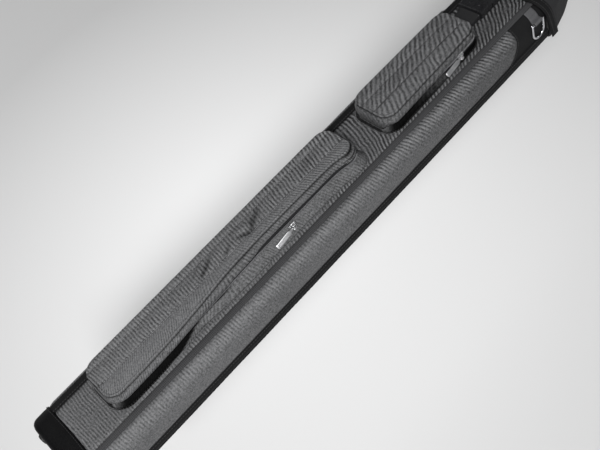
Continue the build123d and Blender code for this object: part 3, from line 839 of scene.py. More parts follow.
def pocket_phase(p, gx, gy):
    """Rib phase on a pocket, which changes direction at its lower sewn row."""
    mid = p["rows"][1]
    if p["name"] == "long":
        up = rib_run(gx, 0.29, 0.135) - lean(gx, -0.03, 0.135) * gy
        side = rib_run(gx, 0.34, 0.20) - (0.20 - 0.32 * smooth(-230, -120, gx)) * gy
    else:
        up = rib_run(gx, 0.14, 0.115) - 0.118 * gy
        side = rib_run(gx, 0.16, 0.125) - 0.09 * gy
    k = smooth(-0.6, 0.6, gy - mid)
    return up * k + side * (1 - k)


def join_loops(verts, faces, base_loop, rings, flip=False):
    """Adds rings of points below a loop that is already in the mesh."""
    last = base_loop
    for ring in rings:
        off = sum(len(v) for v in verts)
        verts.append(ring)
        cur = off + np.arange(len(ring))
        q = strip(last, cur)
        faces.append(q[:, ::-1] if flip else q)
        last = cur
    return last


def face_stitches(p, gx, gy, z, rim_x, rim_y):
    """The two sewn rows along a pocket's face and the row inside its rim."""
    body = p["name"] + "_face"
    thread = THREAD_L if p["thread"] else THREAD_D
    for k, row in enumerate(p["rows"]):
        xs = np.linspace(p["x0"] + (9 if k else 14), p["x1"] - (8 if k else 16), 500)
        ux = gx[:, 0]
        j = np.argmin(np.abs(gy - row), axis=1)
        hz = np.interp(xs, ux, z[np.arange(len(z)), j])
        line = np.stack([xs, 0 * xs + row, hz], 1)
        stitches(f"{p['name']}_face_stitches_{k}", line, (0, 0, 1), body, thread,
                 pitch=3.3 if k else 3.8, length=2.9 if k else 2.2, r=0.36)
    flat_x, flat_y, flat_z = gx.ravel(), gy.ravel(), z.ravel()
    rim_x, rim_y = rim_x[::2], rim_y[::2]
    hz = np.array([flat_z[np.argmin((flat_x - a) ** 2 + (flat_y - b) ** 2)] for a, b in zip(rim_x, rim_y)])
    path = np.stack([rim_x, rim_y, hz - 0.1], 1)
    path = np.vstack([path, path[:1]])
    stitches(f"{p['name']}_rim_stitches", path, (0, 0, 1), body, THREAD_D,
             pitch=3.4, length=2.3, r=0.26)


def pocket_face(p):
    gx, gy = pocket_plan(p, 330 if p["name"] == "long" else 150, 68)
    nu, nv = gx.shape
    dent = dents(p, gx, gy)
    h = face_height(p, gx, gy) + dent
    z = Z_RIM + 0.6 + h
    z = Z_CREST - np.log1p(np.exp((Z_CREST - z) * 2)) / 2
    e = edge_loop(nu, nv)
    lx, ly = gx.ravel()[e], gy.ravel()[e]
    pts, arc, nx, ny = wall(p, lx, ly, UNDERCUT, p["open"][0], FAR, 22)
    right_end = smooth(p["x1"] - 34, p["x1"] - 8, lx) * smooth(-0.5, 0.4, -ny + 0.3)
    lev = np.linspace(0, 1, 22)[:, None]
    fold = 1.1 * np.sin(lev * 3.1 * TAU) * smooth(0.06, 0.25, lev) * right_end[None, :]
    if p["name"] == "short":
        fold *= 0.6
    wob = ripple(lx, 0 * lx, 0.55, 85, 130 + nu)[None, :] * np.sin(math.pi * lev)
    out = fold + wob
    pts[..., 0] += nx * out
    pts[..., 1] += ny * out
    pts[..., 2] += (z.ravel()[e] - Z_RIM)[None, :] * (1 - smooth(0, 0.2, lev))
    verts = [np.stack([gx, gy, z], -1).reshape(-1, 3)]
    faces = [quads(nu, nv)]
    outer_last = join_loops(verts, faces, e, pts[1:])
    n_out = sum(len(v) for v in verts)
    end = np.minimum(gx - p["x0"], p["x1"] - gx)
    shrink = np.minimum(np.minimum(gy - gy[:, :1], gy[:, -1:] - gy), end)
    cx, cy = (p["x0"] + p["x1"]) / 2, 2.0
    pull = 1.4 * (1 - smooth(0, 12, shrink))
    inner_x = gx + np.sign(cx - gx) * pull * (1 - smooth(0, 20, end))
    inner = np.stack([inner_x, gy + np.sign(cy - gy) * pull, z - 2.6], -1)
    verts.append(inner.reshape(-1, 3))
    faces.append(quads(nu, nv, n_out, flip=True))
    inner_pts = pts.copy()
    inner_pts[..., 0] -= nx * 1.7
    inner_pts[..., 1] -= ny * 1.7
    inner_last = join_loops(verts, faces, n_out + e, inner_pts[4:], flip=True)
    faces.append(strip(outer_last, inner_last))
    allv = np.vstack(verts)
    count = len(allv)
    rib, amp, cu, cv, dark = (np.zeros(count) for _ in range(5))
    g = nu * nv
    rib[:g] = pocket_phase(p, gx, gy).ravel()
    amp[:g] = 0.75
    if p["name"] == "long":
        amp[:g] = ((0.62 + 0.38 * smooth(-120, 0, gx)) * np.where(gy < p["rows"][1], 0.75, 1.0)).ravel()
    cu[:g], cv[:g] = gx.ravel(), gy.ravel()
    # Painted shade round the face's rim, in the grooves of its sewn rows and in the puckers.
    seams = sum(0.35 * bell(gy, row, 0.7) for row in p["rows"])
    shade = 0.95 * (1 - smooth(0.0, 1.7, shrink)) + seams + 0.5 * np.clip(-dent / 1.8, 0, 1)
    dark[:g] = np.clip(shade, 0, 0.9).ravel()
    m = (len(pts) - 1) * len(lx)
    wx = (lx + nx * arc)[1:]
    wy = (ly + ny * arc)[1:]
    rib[g:g + m] = pocket_phase(p, wx, np.minimum(wy, 60)).ravel()
    wn = smooth(0.12, 0.9, -ny)
    amp[g:g + m] = np.broadcast_to(0.35 + 0.1 * wn, wx.shape).ravel()
    cu[g:g + m] = wx.ravel()
    cv[g:g + m] = wy.ravel()
    lv = np.broadcast_to(lev[1:], wx.shape)
    # Painted shade on the wall: the crease under the rim, its foot above the zip and the folds' troughs at
    # the right end.
    seam = 1.0 * bell(lv, 0.13, 0.09) * (0.75 + 0.25 * wn)[None, :]
    low = smooth(0.84, 0.97, lv) * 0.9
    dark[g:g + m] = np.clip(seam + low + 0.8 * (fold[1:] < -0.4) * right_end[None, :], 0, 1).ravel()
    # Painted light: the face is lighter, more so below its lower sewn row and towards the lid end.
    lift = np.zeros(count)
    lift[:g] = (0.05 + 0.09 * (gy < p["rows"][1]) + 0.08 * smooth(-60, 60, gx)).ravel()
    # Painted shade over the inner skin, inside the pocket.
    dark[n_out:] = 0.7
    at = {"rib": rib, "amp": amp, "cu": cu, "cv": cv, "dark": dark, "lift": lift}
    body = p["name"] + "_face"
    ob = add_mesh(p["name"] + "_pocket_cloth", allv, np.vstack(faces), RIBBED, body, at,
                  p["name"] + "_pocket_face", sharp=70)
    face_stitches(p, gx, gy, z, lx - nx * RIM_INSET, ly - ny * RIM_INSET)
    return lx, ly, nx, ny


def pocket_base(p, lx, ly):
    pts, arc, nx, ny = wall(p, lx, ly, UNDERCUT_BASE, p["open"][1], FAR_BASE, 14)
    lev = np.linspace(0, 1, 14)[:, None]
    wob = ripple(lx, 0 * lx, 0.35, 50, 150)[None, :] * np.sin(math.pi * lev) * smooth(0.1, 0.8, -ny)[None, :]
    pts[..., 0] += nx * wob
    pts[..., 1] += ny * wob
    n = len(lx)
    verts = [pts[0]]
    faces = []
    join_loops(verts, faces, np.arange(n), pts[1:])
    n_out = sum(len(v) for v in verts)
    inner = pts[:-2].copy()
    shift = 1.3
    inner[..., 0] -= nx * shift
    inner[..., 1] -= ny * shift
    inner[..., 2] = np.maximum(inner[..., 2] - 0.2, 60.95)
    verts.append(inner[0])
    top_inner = n_out + np.arange(n)
    faces.append(strip(top_inner, np.arange(n)))
    join_loops(verts, faces, top_inner, inner[1:], flip=True)
    allv = np.vstack(verts)
    count = len(allv)
    cu = np.zeros(count)
    cv = np.zeros(count)
    rib, amp, dark = np.zeros(count), np.full(count, 0.35), np.zeros(count)
    wx, wy = (lx + nx * arc), (ly + ny * arc)
    cu[:n_out], cv[:n_out] = wx.ravel(), wy.ravel()
    rib[:n_out] = pocket_phase(p, wx, wy).ravel()
    wn = smooth(0.12, 0.9, -ny)
    lv = np.broadcast_to(lev, wx.shape)
    # Painted shadow: a black band low on the near wall, under the gusset's bulge, over the stretch of the
    # pocket set just below.
    if p["name"] == "long":
        shadow_reach = 1 - smooth(-190, -165, lx)
        foot = 0.95 - 0.75 * smooth(-300, -185, lx)
    else:
        shadow_reach = 0.6 + 0.4 * smooth(205, 235, lx) + 0.4 * (1 - smooth(130, 200, lx))
        foot = np.full_like(lx, 0.95)
    undercut_shadow = 0.97 * (1 - smooth(0.0, 0.09, lv - foot[None, :])) * (wn * np.clip(shadow_reach, 0, 1))[None, :]
    # Painted shade along the crease at the base's sewn row, and over the inside of the wall.
    flange = 0.5 * bell(lv, 0.83, 0.05)
    dark[:n_out] = np.clip(undercut_shadow + flange, 0, 1).ravel()
    dark[n_out:] = 0.8
    at = {"rib": rib, "amp": amp, "cu": cu, "cv": cv, "dark": dark}
    add_mesh(p["name"] + "_pocket_wall", allv, np.vstack(faces), RIBBED, "case", at,
             p["name"] + "_pocket_base", sharp=70)
    row = pts[11]
    path = np.vstack([row, row[:1]])
    stitches(p["name"] + "_base_stitches", path + np.array([0, 0, 0.35]), (0, 0, 1), "case", THREAD_D,
             pitch=3.3, length=2.4, r=0.28)
    gx, gy = pocket_plan(p, 60, 24)
    zf = 60.75 + 0.25 * np.sin(gx / 21.0) * np.sin(gy / 9.0) ** 2
    outer = np.stack([gx, gy, zf], -1)
    low = np.stack([gx, gy, np.full_like(zf, 60.2)], -1)
    slab(p["name"] + "_pocket_backing", outer, low, LINING, "case", {"cu": gx, "cv": gy},
         flip=True)


def zip_line(p, lx, ly, nx, ny, which):
    """The near wall's zip line on the face's or the base's side, with its outward normals."""
    if which == "face":
        a, b, c = UNDERCUT[-1], p["open"][0][-1], FAR[-1]
    else:
        a, b, c = UNDERCUT_BASE[0], p["open"][1][0], FAR_BASE[0]
    wn = smooth(0.12, 0.9, -ny)[:, None]
    wb = smooth(*p["turn"], lx)[:, None]
    prof = np.array(c)[None] * (1 - wn) + wn * (np.array(a)[None] * (1 - wb) + np.array(b)[None] * wb)
    pts = np.stack([lx + nx * prof[:, 0], ly + ny * prof[:, 0], prof[:, 1]], 1)
    sel = (ny < -0.35) & (lx > p["x0"] + 6) & (lx < p["x1"] - 6)
    pts = pts[sel]
    order = np.argsort(pts[:, 0])
    return pts[order], np.stack([nx, ny], 1)[sel][order]


def zips(p, lx, ly, nx, ny):
    for which, body in (("face", p["name"] + "_face"), ("base", "case")):
        line, nrm = zip_line(p, lx, ly, nx, ny, which)
        up = 1 if which == "face" else -1
        d = np.r_[0, np.cumsum(np.linalg.norm(np.diff(line, axis=0), axis=1))]
        out = np.stack([nrm[:, 0], nrm[:, 1], 0 * d], 1)
        v = np.linspace(0, 1, 5)
        slope = np.stack([nrm[:, 0] * -0.3 * up, nrm[:, 1] * -0.3 * up, np.full(len(d), up * 1.0)], 1)
        outer = line[:, None, :] + slope[:, None, :] * (3.2 * v)[None, :, None]
        outer = outer + out[:, None, :] * (0.75 - 0.5 * v[None, :, None])
        inner = outer - out[:, None, :] * 0.7
        node = p["name"] + ("_zip_upper" if which == "face" else "_zip_lower")
        at = {"cu": np.repeat(d[:, None], 5, 1), "cv": np.repeat((v * 3.2)[None], len(d), 0)}
        slab(f"{p['name']}_zip_tape_{which}", outer, inner, ZIPTAPE, body, at, node, flip=up < 0)
        teeth(f"{p['name']}_zip_coil_{which}", line + out * 1.0, out, up, d, body)


def teeth(name, line, out, up, d, body):
    """Moulded coil: a small rounded loop each 1.5 mm along the zip line."""
    pitch = 1.5
    at = np.arange(1 + (0.75 if up > 0 else 0), d[-1] - 1, pitch)
    verts, faces = [], []
    for s in at:
        c = np.array([np.interp(s, d, line[:, k]) for k in range(3)])
        o = np.array([np.interp(s, d, out[:, k]) for k in range(3)])
        t = np.array([-o[1], o[0], 0.0])
        t /= np.linalg.norm(t) + 1e-9
        base = len(verts)
        for h, w in ((-0.35, 0.35), (0.1, 0.48), (1.2, 0.42), (1.5, 0.2)):
            for a in np.arange(6) * TAU / 6:
                rise = np.array([0, 0, up * (h - 0.35)])
                verts.append(c + rise + t * w * math.cos(a) + o * (0.5 * math.sin(a) * w / 0.48))
        for i in range(3):
            for k in range(6):
                a, b = base + i * 6 + k, base + i * 6 + (k + 1) % 6
                faces.append((a, b, b + 6, a + 6) if up > 0 else (a, a + 6, b + 6, b))
        faces.append(tuple(base + k for k in range(6)))
        faces.append(tuple(base + 18 + k for k in range(6)))
    add_mesh(name, np.array(verts), faces, COIL, body, None, sharp=60)


def rounded_bar(n, stations, mat, body, node=(), exp=3.5, seg=28):
    """Lofted superellipse bar through stations of (centre, half width on b, half width on c, b, c)."""
    verts, faces = [], []
    for c, hb, hc, b_ax, c_ax in stations:
        for k in range(seg):
            a = k * TAU / seg
            ca, sa = math.cos(a), math.sin(a)
            u = abs(ca) ** (2 / exp) * (1 if ca >= 0 else -1)
            w = abs(sa) ** (2 / exp) * (1 if sa >= 0 else -1)
            verts.append(np.array(c) + np.array(b_ax) * hb * u + np.array(c_ax) * hc * w)
    faces += [tuple(f) for f in quads(len(stations), seg, wrap=True)]
    faces.append(tuple(range(seg - 1, -1, -1)))
    faces.append(tuple(range((len(stations) - 1) * seg, len(stations) * seg)))
    return add_mesh(n, np.array(verts), faces, mat, body, None, node, sharp=50)


def slider(label, pin_x):
    low, high = box_mm(label + "_zip_slider")
    y_back = high[1]
    z = (low[2] + high[2]) / 2
    body = label + "_slider"
    pin_y = joint_mm(label + "_puller_swing")[1]
    b, c = (0, 0, 1), (0, 1, 0)
    st = []
    for t in np.linspace(0, 1, 15):
        x = pin_x + 5.2 - 10.4 * t
        w = 3.1 + 1.1 * math.cos((t - 0.15) * 2.2) ** 2 - 0.6 * abs(t - 0.5)
        th = 1.25 * math.sin(math.pi * min(max(t, 0.04), 0.96)) ** 0.3
        st.append(((x, y_back - 1.35, z), w, th, b, c))
    rounded_bar(label + "_zip_slider_body", st, CHROME, body, label + "_zip_slider", exp=3.0)
    for sgn in (-1, 1):
        arch = [(pin_x + 3.4, y_back - 2.2, z + sgn * 2.9), (pin_x + 3.0, pin_y + 0.9, z + sgn * 3.0),
                (pin_x + 1.2, pin_y - 0.9, z + sgn * 3.05),
                (pin_x - 1.4, pin_y - 0.5, z + sgn * 3.05), (pin_x - 2.6, y_back - 2.2, z + sgn * 2.9)]
        sweep(f"{label}_slider_ear_{'low' if sgn < 0 else 'high'}", spline(arch, 26), 0.62, CHROME, body,
              attrs=False)
    pin = [(pin_x, pin_y, z + q) for q in (-3.4, -1.2, 1.2, 3.4)]
    sweep(label + "_slider_pin", pin, 0.75, CHROME, body, attrs=False, seg=14, up=(0, 1, 0))
    puller(label, pin_x, pin_y, z)


def puller(label, px, py, pz):
    """Bar puller: an eye round the pin, a neck, and a long grooved bar that hangs a little."""
    body = label + "_puller"
    a = np.linspace(0, TAU, 26, endpoint=False)
    eye = np.stack([px - 0.5 + 1.75 * np.cos(a), py + 1.75 * np.sin(a), np.full_like(a, pz)], 1)
    sweep(label + "_puller_eye", eye, 0.62, CHROME, body, label + "_zip_puller", attrs=False,
          closed=True, squash=(1.0, 1.9))
    axis = np.array([-1.0, -0.035, -0.13])
    axis /= np.linalg.norm(axis)
    wide = np.array([-0.13, 0.62, 0.78])
    wide -= axis * wide.dot(axis)
    wide /= np.linalg.norm(wide)
    deep = np.cross(axis, wide)
    start = np.array([px, py, pz])
    st = []
    # Distance from the pin, half width and half depth.
    prof = ((1.7, 1.1, 0.6), (3.5, 1.1, 0.65), (6.2, 1.3, 0.7), (7.2, 2.0, 0.85), (8.2, 2.8, 0.95),
            (10, 3.0, 1.0), (20, 3.05, 1.0), (28.5, 3.05, 1.0), (30.2, 2.9, 0.95), (30.8, 2.1, 0.8),
            (31.0, 1.4, 0.5))
    for t, w, th in prof:
        st.append((start + axis * t, w, th, wide, deep))
    rounded_bar(label + "_puller_bar", st, CHROME, body, exp=4.0)
    for k, off in enumerate((-1.3, 1.3)):
        proud = deep * (-0.88 if deep[1] > 0 else 0.88)
        line = [start + axis * t + wide * off + proud for t in np.linspace(10, 29, 8)]
        sweep(f"{label}_puller_ridge_{k}", np.array(line), 0.42, CHROME, body, attrs=False,
              seg=8)


for pocket in (LONG, SHORT):
    lx, ly, nx, ny = pocket_face(pocket)
    pocket_base(pocket, lx, ly)
    zips(pocket, lx, ly, nx, ny)
    slider(pocket["name"], pocket["slider_x"])


# ---- lid ----

X_HEM, HEM_TILT = 353.0, 0.22
LID = np.array([(0.3, 63.8, 64.0, 0.0), (14.0, 62.5, 63.0, 0.0), (42.0, 54.5, 57.0, 0.0),
                (85.0, 37.0, 44.0, 6.0)])
LID_L = 85.0
X_HINGE = joint_mm("lid_open")[0]


def lid_loop(x, n, inset):
    """One loop of the hood at x, seen as a tapered tube with round corners."""
    dx = np.clip(x - X_HINGE, 0.3, LID_L)
    half, front, back = (np.interp(dx, LID[:, 0], LID[:, k]) for k in (1, 2, 3))
    rf = min(20.0, (front - back) / 2 - 2) - inset
    return loop_section(n + 1, half - inset, back + inset * 0.6, front - inset, max(rf, 3),
                        max(9.0 - inset * 0.6, 3))


def lid_seam(x):
    """How far from the middle the hood's two long seams are at x."""
    return np.interp(x, [351, 393, 436], [44, 37, 24])


def lid():
    """Hood of the lid: padded outer skin, rounded end and inner skin, all one closed cloth."""
    n = 240
    xs = np.r_[X_HINGE + 0.6, np.linspace(X_HINGE + 3, X_HINGE + LID_L - 5, 60)]
    loops = []
    for x in xs:
        near = [lid_loop(x + q, n, 0)[0] for q in (-6, -3, 0, 3, 6)]
        loops.append(sum(w * a for w, a in zip((0.1, 0.22, 0.36, 0.22, 0.1), near)))
    verts, cu, cv = [], [], []
    for x, loop in zip(xs, loops):
        l = loop[:-1]
        front = smooth(0, 50, l[:, 1])
        u = (x - X_HINGE) / (LID_L - 4)
        crown = math.sin(math.pi * min(u, 1)) ** 0.7
        waves = ripple(x + 0 * l[:, 0], l[:, 0] + l[:, 1], 0.45, 34, 200)
        pinch = 0.7 * bell(np.abs(l[:, 0]), lid_seam(x), 1.3)
        grow = (crown + waves - pinch) * front
        z = np.maximum(l[:, 1] + l[:, 3] * grow, 0.1)
        verts.append(np.stack([np.full(n, x), l[:, 0] + l[:, 2] * grow, z], 1))
        cu.append(np.full(n, x))
        cv.append(np.linspace(0, 330, n))
    top = lid_loop(X_HINGE + LID_L - 1, n, 0)[0][:-1]
    mid_y, mid_z = 0.0, (LID[-1, 2] + LID[-1, 3]) / 2
    for back_off, k in ((2.2, 0.965), (0.8, 0.90), (0.25, 0.82), (0.4, 0.6), (0.7, 0.3), (0.8, 0.02)):
        x = X_HINGE + LID_L - back_off
        verts.append(np.stack([np.full(n, x), mid_y + (top[:, 0] - mid_y) * k,
                               mid_z + (top[:, 1] - mid_z) * k], 1))
        cu.append(np.full(n, x))
        cv.append(np.linspace(0, 330, n) * k)
    rows = len(verts)
    outer = np.vstack(verts)
    inner_rows = []
    xi = np.linspace(X_HINGE + 0.6, X_HINGE + LID_L - 5, 24)
    for x in xi:
        l = lid_loop(x, n, 2.8)[0][:-1]
        inner_rows.append(np.stack([np.full(n, x), l[:, 0], np.maximum(l[:, 1], 0.9)], 1))
    end = inner_rows[-1]
    for k in (0.5, 0.02):
        inner_rows.append(np.stack([np.full(n, X_HINGE + LID_L - 4), end[:, 1] * k,
                                    mid_z + (end[:, 2] - mid_z) * k], 1))
    off = len(outer)
    allv = np.vstack([outer, *inner_rows])
    faces = [quads(rows, n, wrap=True), quads(len(inner_rows), n, off, wrap=True, flip=True),
             strip(off + np.arange(n), np.arange(n))]
    cu = np.r_[np.concatenate(cu), allv[off:, 0]]
    cv = np.r_[np.concatenate(cv), np.tile(np.linspace(0, 330, n), len(inner_rows))]
    dark = np.r_[np.zeros(off), np.ones(len(allv) - off)]
    at = {"cu": cu, "cv": cv, "dark": dark}
    ob = add_mesh("lid_hood_cloth", allv, np.vstack(faces), LID_CLOTH, "lid", at,
                  ("lid_shell", "lid_lining"), sharp=60)
    lid_stitches(xs, loops)


def lid_stitches(xs, loops):
    for sgn, lab in ((-1, "right"), (1, "left")):
        pts, ups = [], []
        for x in np.linspace(X_HINGE + 10, X_HINGE + LID_L - 5, 44):
            l = loops[int(np.argmin(np.abs(xs - x)))]
            want = sgn * lid_seam(x)
            top_half = l[l[:, 1] > 25]
            j = np.argmin(np.abs(top_half[:, 0] - want))
            q = top_half[j]
            pts.append((x, q[0], q[1] + 0.1))
            ups.append((0.1, q[2], q[3]))
        stitches("lid_seam_stitches_" + lab, pts, ups, "lid", THREAD_D, lift=0.35)


def hem_frames(n):
    """Arch round the lid's mouth from one foot to the other, leaning to the base at the front."""
    loop = loop_section(900, 63.8, -14.0, 64.1, 20.0, 9.0)[0]
    l = loop[loop[:, 1] > 1.2]
    ang = np.arctan2(l[:, 0], l[:, 1] - 10)
    l = l[np.argsort(ang)]
    d = np.r_[0, np.cumsum(np.hypot(*np.diff(l[:, :2], axis=0).T))]
    u = np.linspace(0, d[-1], n)
    return np.stack([np.interp(u, d, l[:, k]) for k in range(4)], 1), u


def hem():
    """Padded binding that flares out round the mouth of the lid."""
    f, u = hem_frames(260)
    prof = [(-6.3, 0.2), (-6.6, 0.9), (-6.2, 1.7), (-4.8, 2.15), (-2.5, 2.2), (0, 1.95), (2.5, 1.8),
            (4.6, 1.55), (5.9, 1.0), (6.3, 0.35), (6.2, -0.6), (0, -0.75), (-5.6, -0.5)]
    verts, cu, cv = [], [], []
    foot = np.minimum(u, u[-1] - u)
    squeeze = 0.35 + 0.65 * smooth(0, 10, foot)
    for k, (dx, h) in enumerate(prof):
        x = X_HEM - HEM_TILT * f[:, 1] + 6.6 + dx + 0.5 * np.sin(u / 23.0)
        hh = h * np.where(h > 0, squeeze, 1.0)
        verts.append(np.stack([x, f[:, 0] + f[:, 2] * hh, np.maximum(f[:, 1] + f[:, 3] * hh, 0.4)], 1))
        cu.append(u)
        cv.append(np.full(len(u), k * 2.0))
    v = np.stack(verts, 1).reshape(-1, 3)
    m = len(prof)
    faces = [tuple(q) for q in quads(len(u), m, wrap=True, flip=True)]
    faces += [tuple(range(m)), tuple(range(len(v) - 1, len(v) - 1 - m, -1))]
    at = {"cu": np.stack(cu, 1).ravel(), "cv": np.stack(cv, 1).ravel()}
    add_mesh("lid_hem_band", v, faces, TAPE, "lid", at, "lid_hem", sharp=70)
    up = np.stack([0 * u, f[:, 2], f[:, 3]], 1)
    for k, dx in enumerate((-3.4, 3.3)):
        x = X_HEM - HEM_TILT * f[:, 1] + 6.6 + dx + 0.5 * np.sin(u / 23.0)
        path = np.stack([x, f[:, 0] + f[:, 2] * 2.15, f[:, 1] + f[:, 3] * 2.15], 1)[8:-8]
        if k:
            path = path - up[8:-8] * 0.4
        stitches(f"lid_hem_stitches_{k}", path, up[8:-8], "lid", THREAD_D, pitch=3.4)


def hinge_strip():
    """Cloth hinge under the lid, between the case and the lid."""
    y = np.linspace(-45, 45, 40)
    x = np.linspace(X_HINGE - 11, X_HINGE + 9, 36)
    gx, gy = np.meshgrid(x, y, indexing="ij")
    low = np.where(np.abs(gx - X_HINGE) < 4.5, 0.15, 0.05)
    outer = np.stack([gx, gy, low], -1)
    inner = np.stack([gx, gy, low + 0.75], -1)
    at = {"cu": gx, "cv": gy}
    ob = slab("lid_hinge_cloth", outer, inner, TAPE, None, at, None)
    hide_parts("lid_hinge_strip")
    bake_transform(ob)


# ---- buckle and webbing ----

def ribbon(name, line, width, y_mid, thick, mat, body, node=()):
    """Flat webbing that follows a line in the XZ plane, with softly rounded edges."""
    p = np.asarray(line, float)
    d = np.r_[0, np.cumsum(np.hypot(*np.diff(p, axis=0).T))]
    tan = np.gradient(p, axis=0)
    tan /= np.linalg.norm(tan, axis=1)[:, None]
    nrm = np.stack([-tan[:, 1], tan[:, 0]], 1)
    v = np.linspace(-1, 1, 15)
    edge = np.sqrt(np.clip(1 - np.maximum(np.abs(v) - 0.93, 0) ** 2 / 0.07 ** 2, 0.05, 1))
    outer, inner = [], []
    for sgn, store in ((1, outer), (-1, inner)):
        q = p[:, None, :] + nrm[:, None, :] * (thick / 2 * sgn * edge)[None, :, None]
        store.append(np.stack([q[..., 0], np.broadcast_to(y_mid + v * width / 2, q.shape[:2]), q[..., 1]],
                              -1))
    at = {"cu": np.repeat(d[:, None], 15, 1), "cv": np.repeat((v * width / 2)[None], len(p), 0)}
    return slab(name, outer[0], inner[0], mat, body, at, node, flip=True)


def cross_stitches(name, x0, x1, y0, y1, z, body):
    """Box stitching over a doubled webbing."""
    pts = np.array([(x0, y0, z), (x1, y0, z), (x1, y1, z), (x0, y1, z), (x0, y0, z), (x1, y1, z),
                    (x1, y0, z), (x0, y1, z)], float)
    path = np.vstack([np.linspace(a, b, 12)[:-1] for a, b in zip(pts[:-1], pts[1:])] + [pts[-1:]])
    stitches(name, path, (0, 0, 1), body, THREAD_D, pitch=2.9, length=2.1, r=0.26)


def buckle():
    """Folded webbing, the moulded buckle with its raised parts, and the lid's strap."""
    (x0, y0, z0), (x1, y1, _) = box_mm("buckle_anchor")
    y_mid, w = (y0 + y1) / 2, y1 - y0
    bottom = [(x0, z0 + 0.8), (x0 + 8, z0 + 0.8), (x1 + 1, z0 + 0.85), (x1 + 4.5, z0 + 1.5),
              (x1 + 5.6, z0 + 3.4), (x1 + 4.6, z0 + 4.9), (x1 + 1.5, z0 + 4.6),
              (x1 - 6, z0 + 3.4), (x1 - 14, z0 + 2.6), (x0 + 2, z0 + 2.4)]
    ribbon("buckle_anchor_webbing", spline(bottom, 90), w, y_mid, 1.45, STRAP, "case",
           "buckle_anchor")
    fold = [(x1 - 15.5, z0 + 4.2), (x1 - 12, z0 + 4.6), (x1 - 4, z0 + 5.6), (x1 - 0.6, z0 + 6.4),
            (x1 + 0.4, z0 + 5.9)]
    ribbon("buckle_anchor_fold", spline(fold, 40), w - 3, y_mid, 1.3, WORN_STRAP, "case")
    for k, (xr, zr) in enumerate(((x0 + 1.2, z0 + 3.0), (x1 - 1.0, z0 + 5.9))):
        edge = np.array([(xr, y, zr) for y in np.linspace(y_mid - w / 2 + 1, y_mid + w / 2 - 1, 20)])
        sweep(f"buckle_anchor_edge_{k}", edge, 0.8, SATIN, "case", seg=10, squash=(1.0, 0.7))
    cross_stitches("buckle_anchor_stitches", x0 + 2, x1 - 16, y_mid - w / 2 + 3, y_mid + w / 2 - 3,
                   z0 + 3.35, "case")
    for name in ("buckle_receptacle", "buckle_plug", "buckle_arm_left", "buckle_arm_right"):
        keep(name, PLASTIC)
    (xa, _, _), (xb, _, top) = box_mm("buckle_receptacle")
    steps = ((xa + 8, 0.55), (xa + 9, 0.85), (xa + 11, 1), (xb - 8, 1), (xb - 6, 0.85), (xb - 5, 0.55))
    panel = [((x, y_mid, top + 0.15), 8.5 * k, 0.55 * k, (0, 1, 0), (0, 0, 1)) for x, k in steps]
    rounded_bar("buckle_raised_panel", panel, PLASTIC, "case", exp=3)
    for k in range(4):
        y = y_mid + (k - 1.5) * 9.2
        rib = [(xb - 3.6, y, top - 0.25), (xb - 2.8, y, top + 0.3), (xb - 1.2, y, top + 0.3),
               (xb - 0.6, y, top - 0.2)]
        sweep(f"buckle_mouth_rib_{k}", rib, 0.7, PLASTIC, "case", attrs=False, seg=8,
              up=(0, 1, 0))
    bar = np.array([(xa + 1.8, y, top - 0.4) for y in np.linspace(y_mid - 17, y_mid + 17, 24)])
    sweep("buckle_rear_bar", bar, 1.35, PLASTIC, "case", attrs=False, seg=14)
    plug_top = box_mm("buckle_plug")[1][2]
    for k in range(3):
        x = xb + 3.5 + k * 3.4
        grip = np.array([(x, y, plug_top - 0.15) for y in np.linspace(y_mid - 14, y_mid + 14, 20)])
        sweep(f"buckle_plug_grip_{k}", grip, 0.55, PLASTIC, "lid", attrs=False, seg=10)
    (xs0, _, zs), (xs1, _, _) = box_mm("lid_strap")
    line = [(xs0 - 1.5, zs + 2.6), (xs0 + 2, zs + 2.5), (xs0 + 8, zs + 1.3), (xs1 - 6, zs + 0.95),
            (xs1, zs + 0.9), (xs1 + 7, zs - 0.6)]
    ribbon("lid_strap_webbing", spline(line, 60), w - 1, y_mid, 1.5, STRAP, "lid",
           "lid_strap")
    cross_stitches("lid_strap_stitches", xs1 - 10, xs1 - 1, y_mid - w / 2 + 3, y_mid + w / 2 - 3, zs + 1.75,
                   "lid")


# ---- carrying rings ----

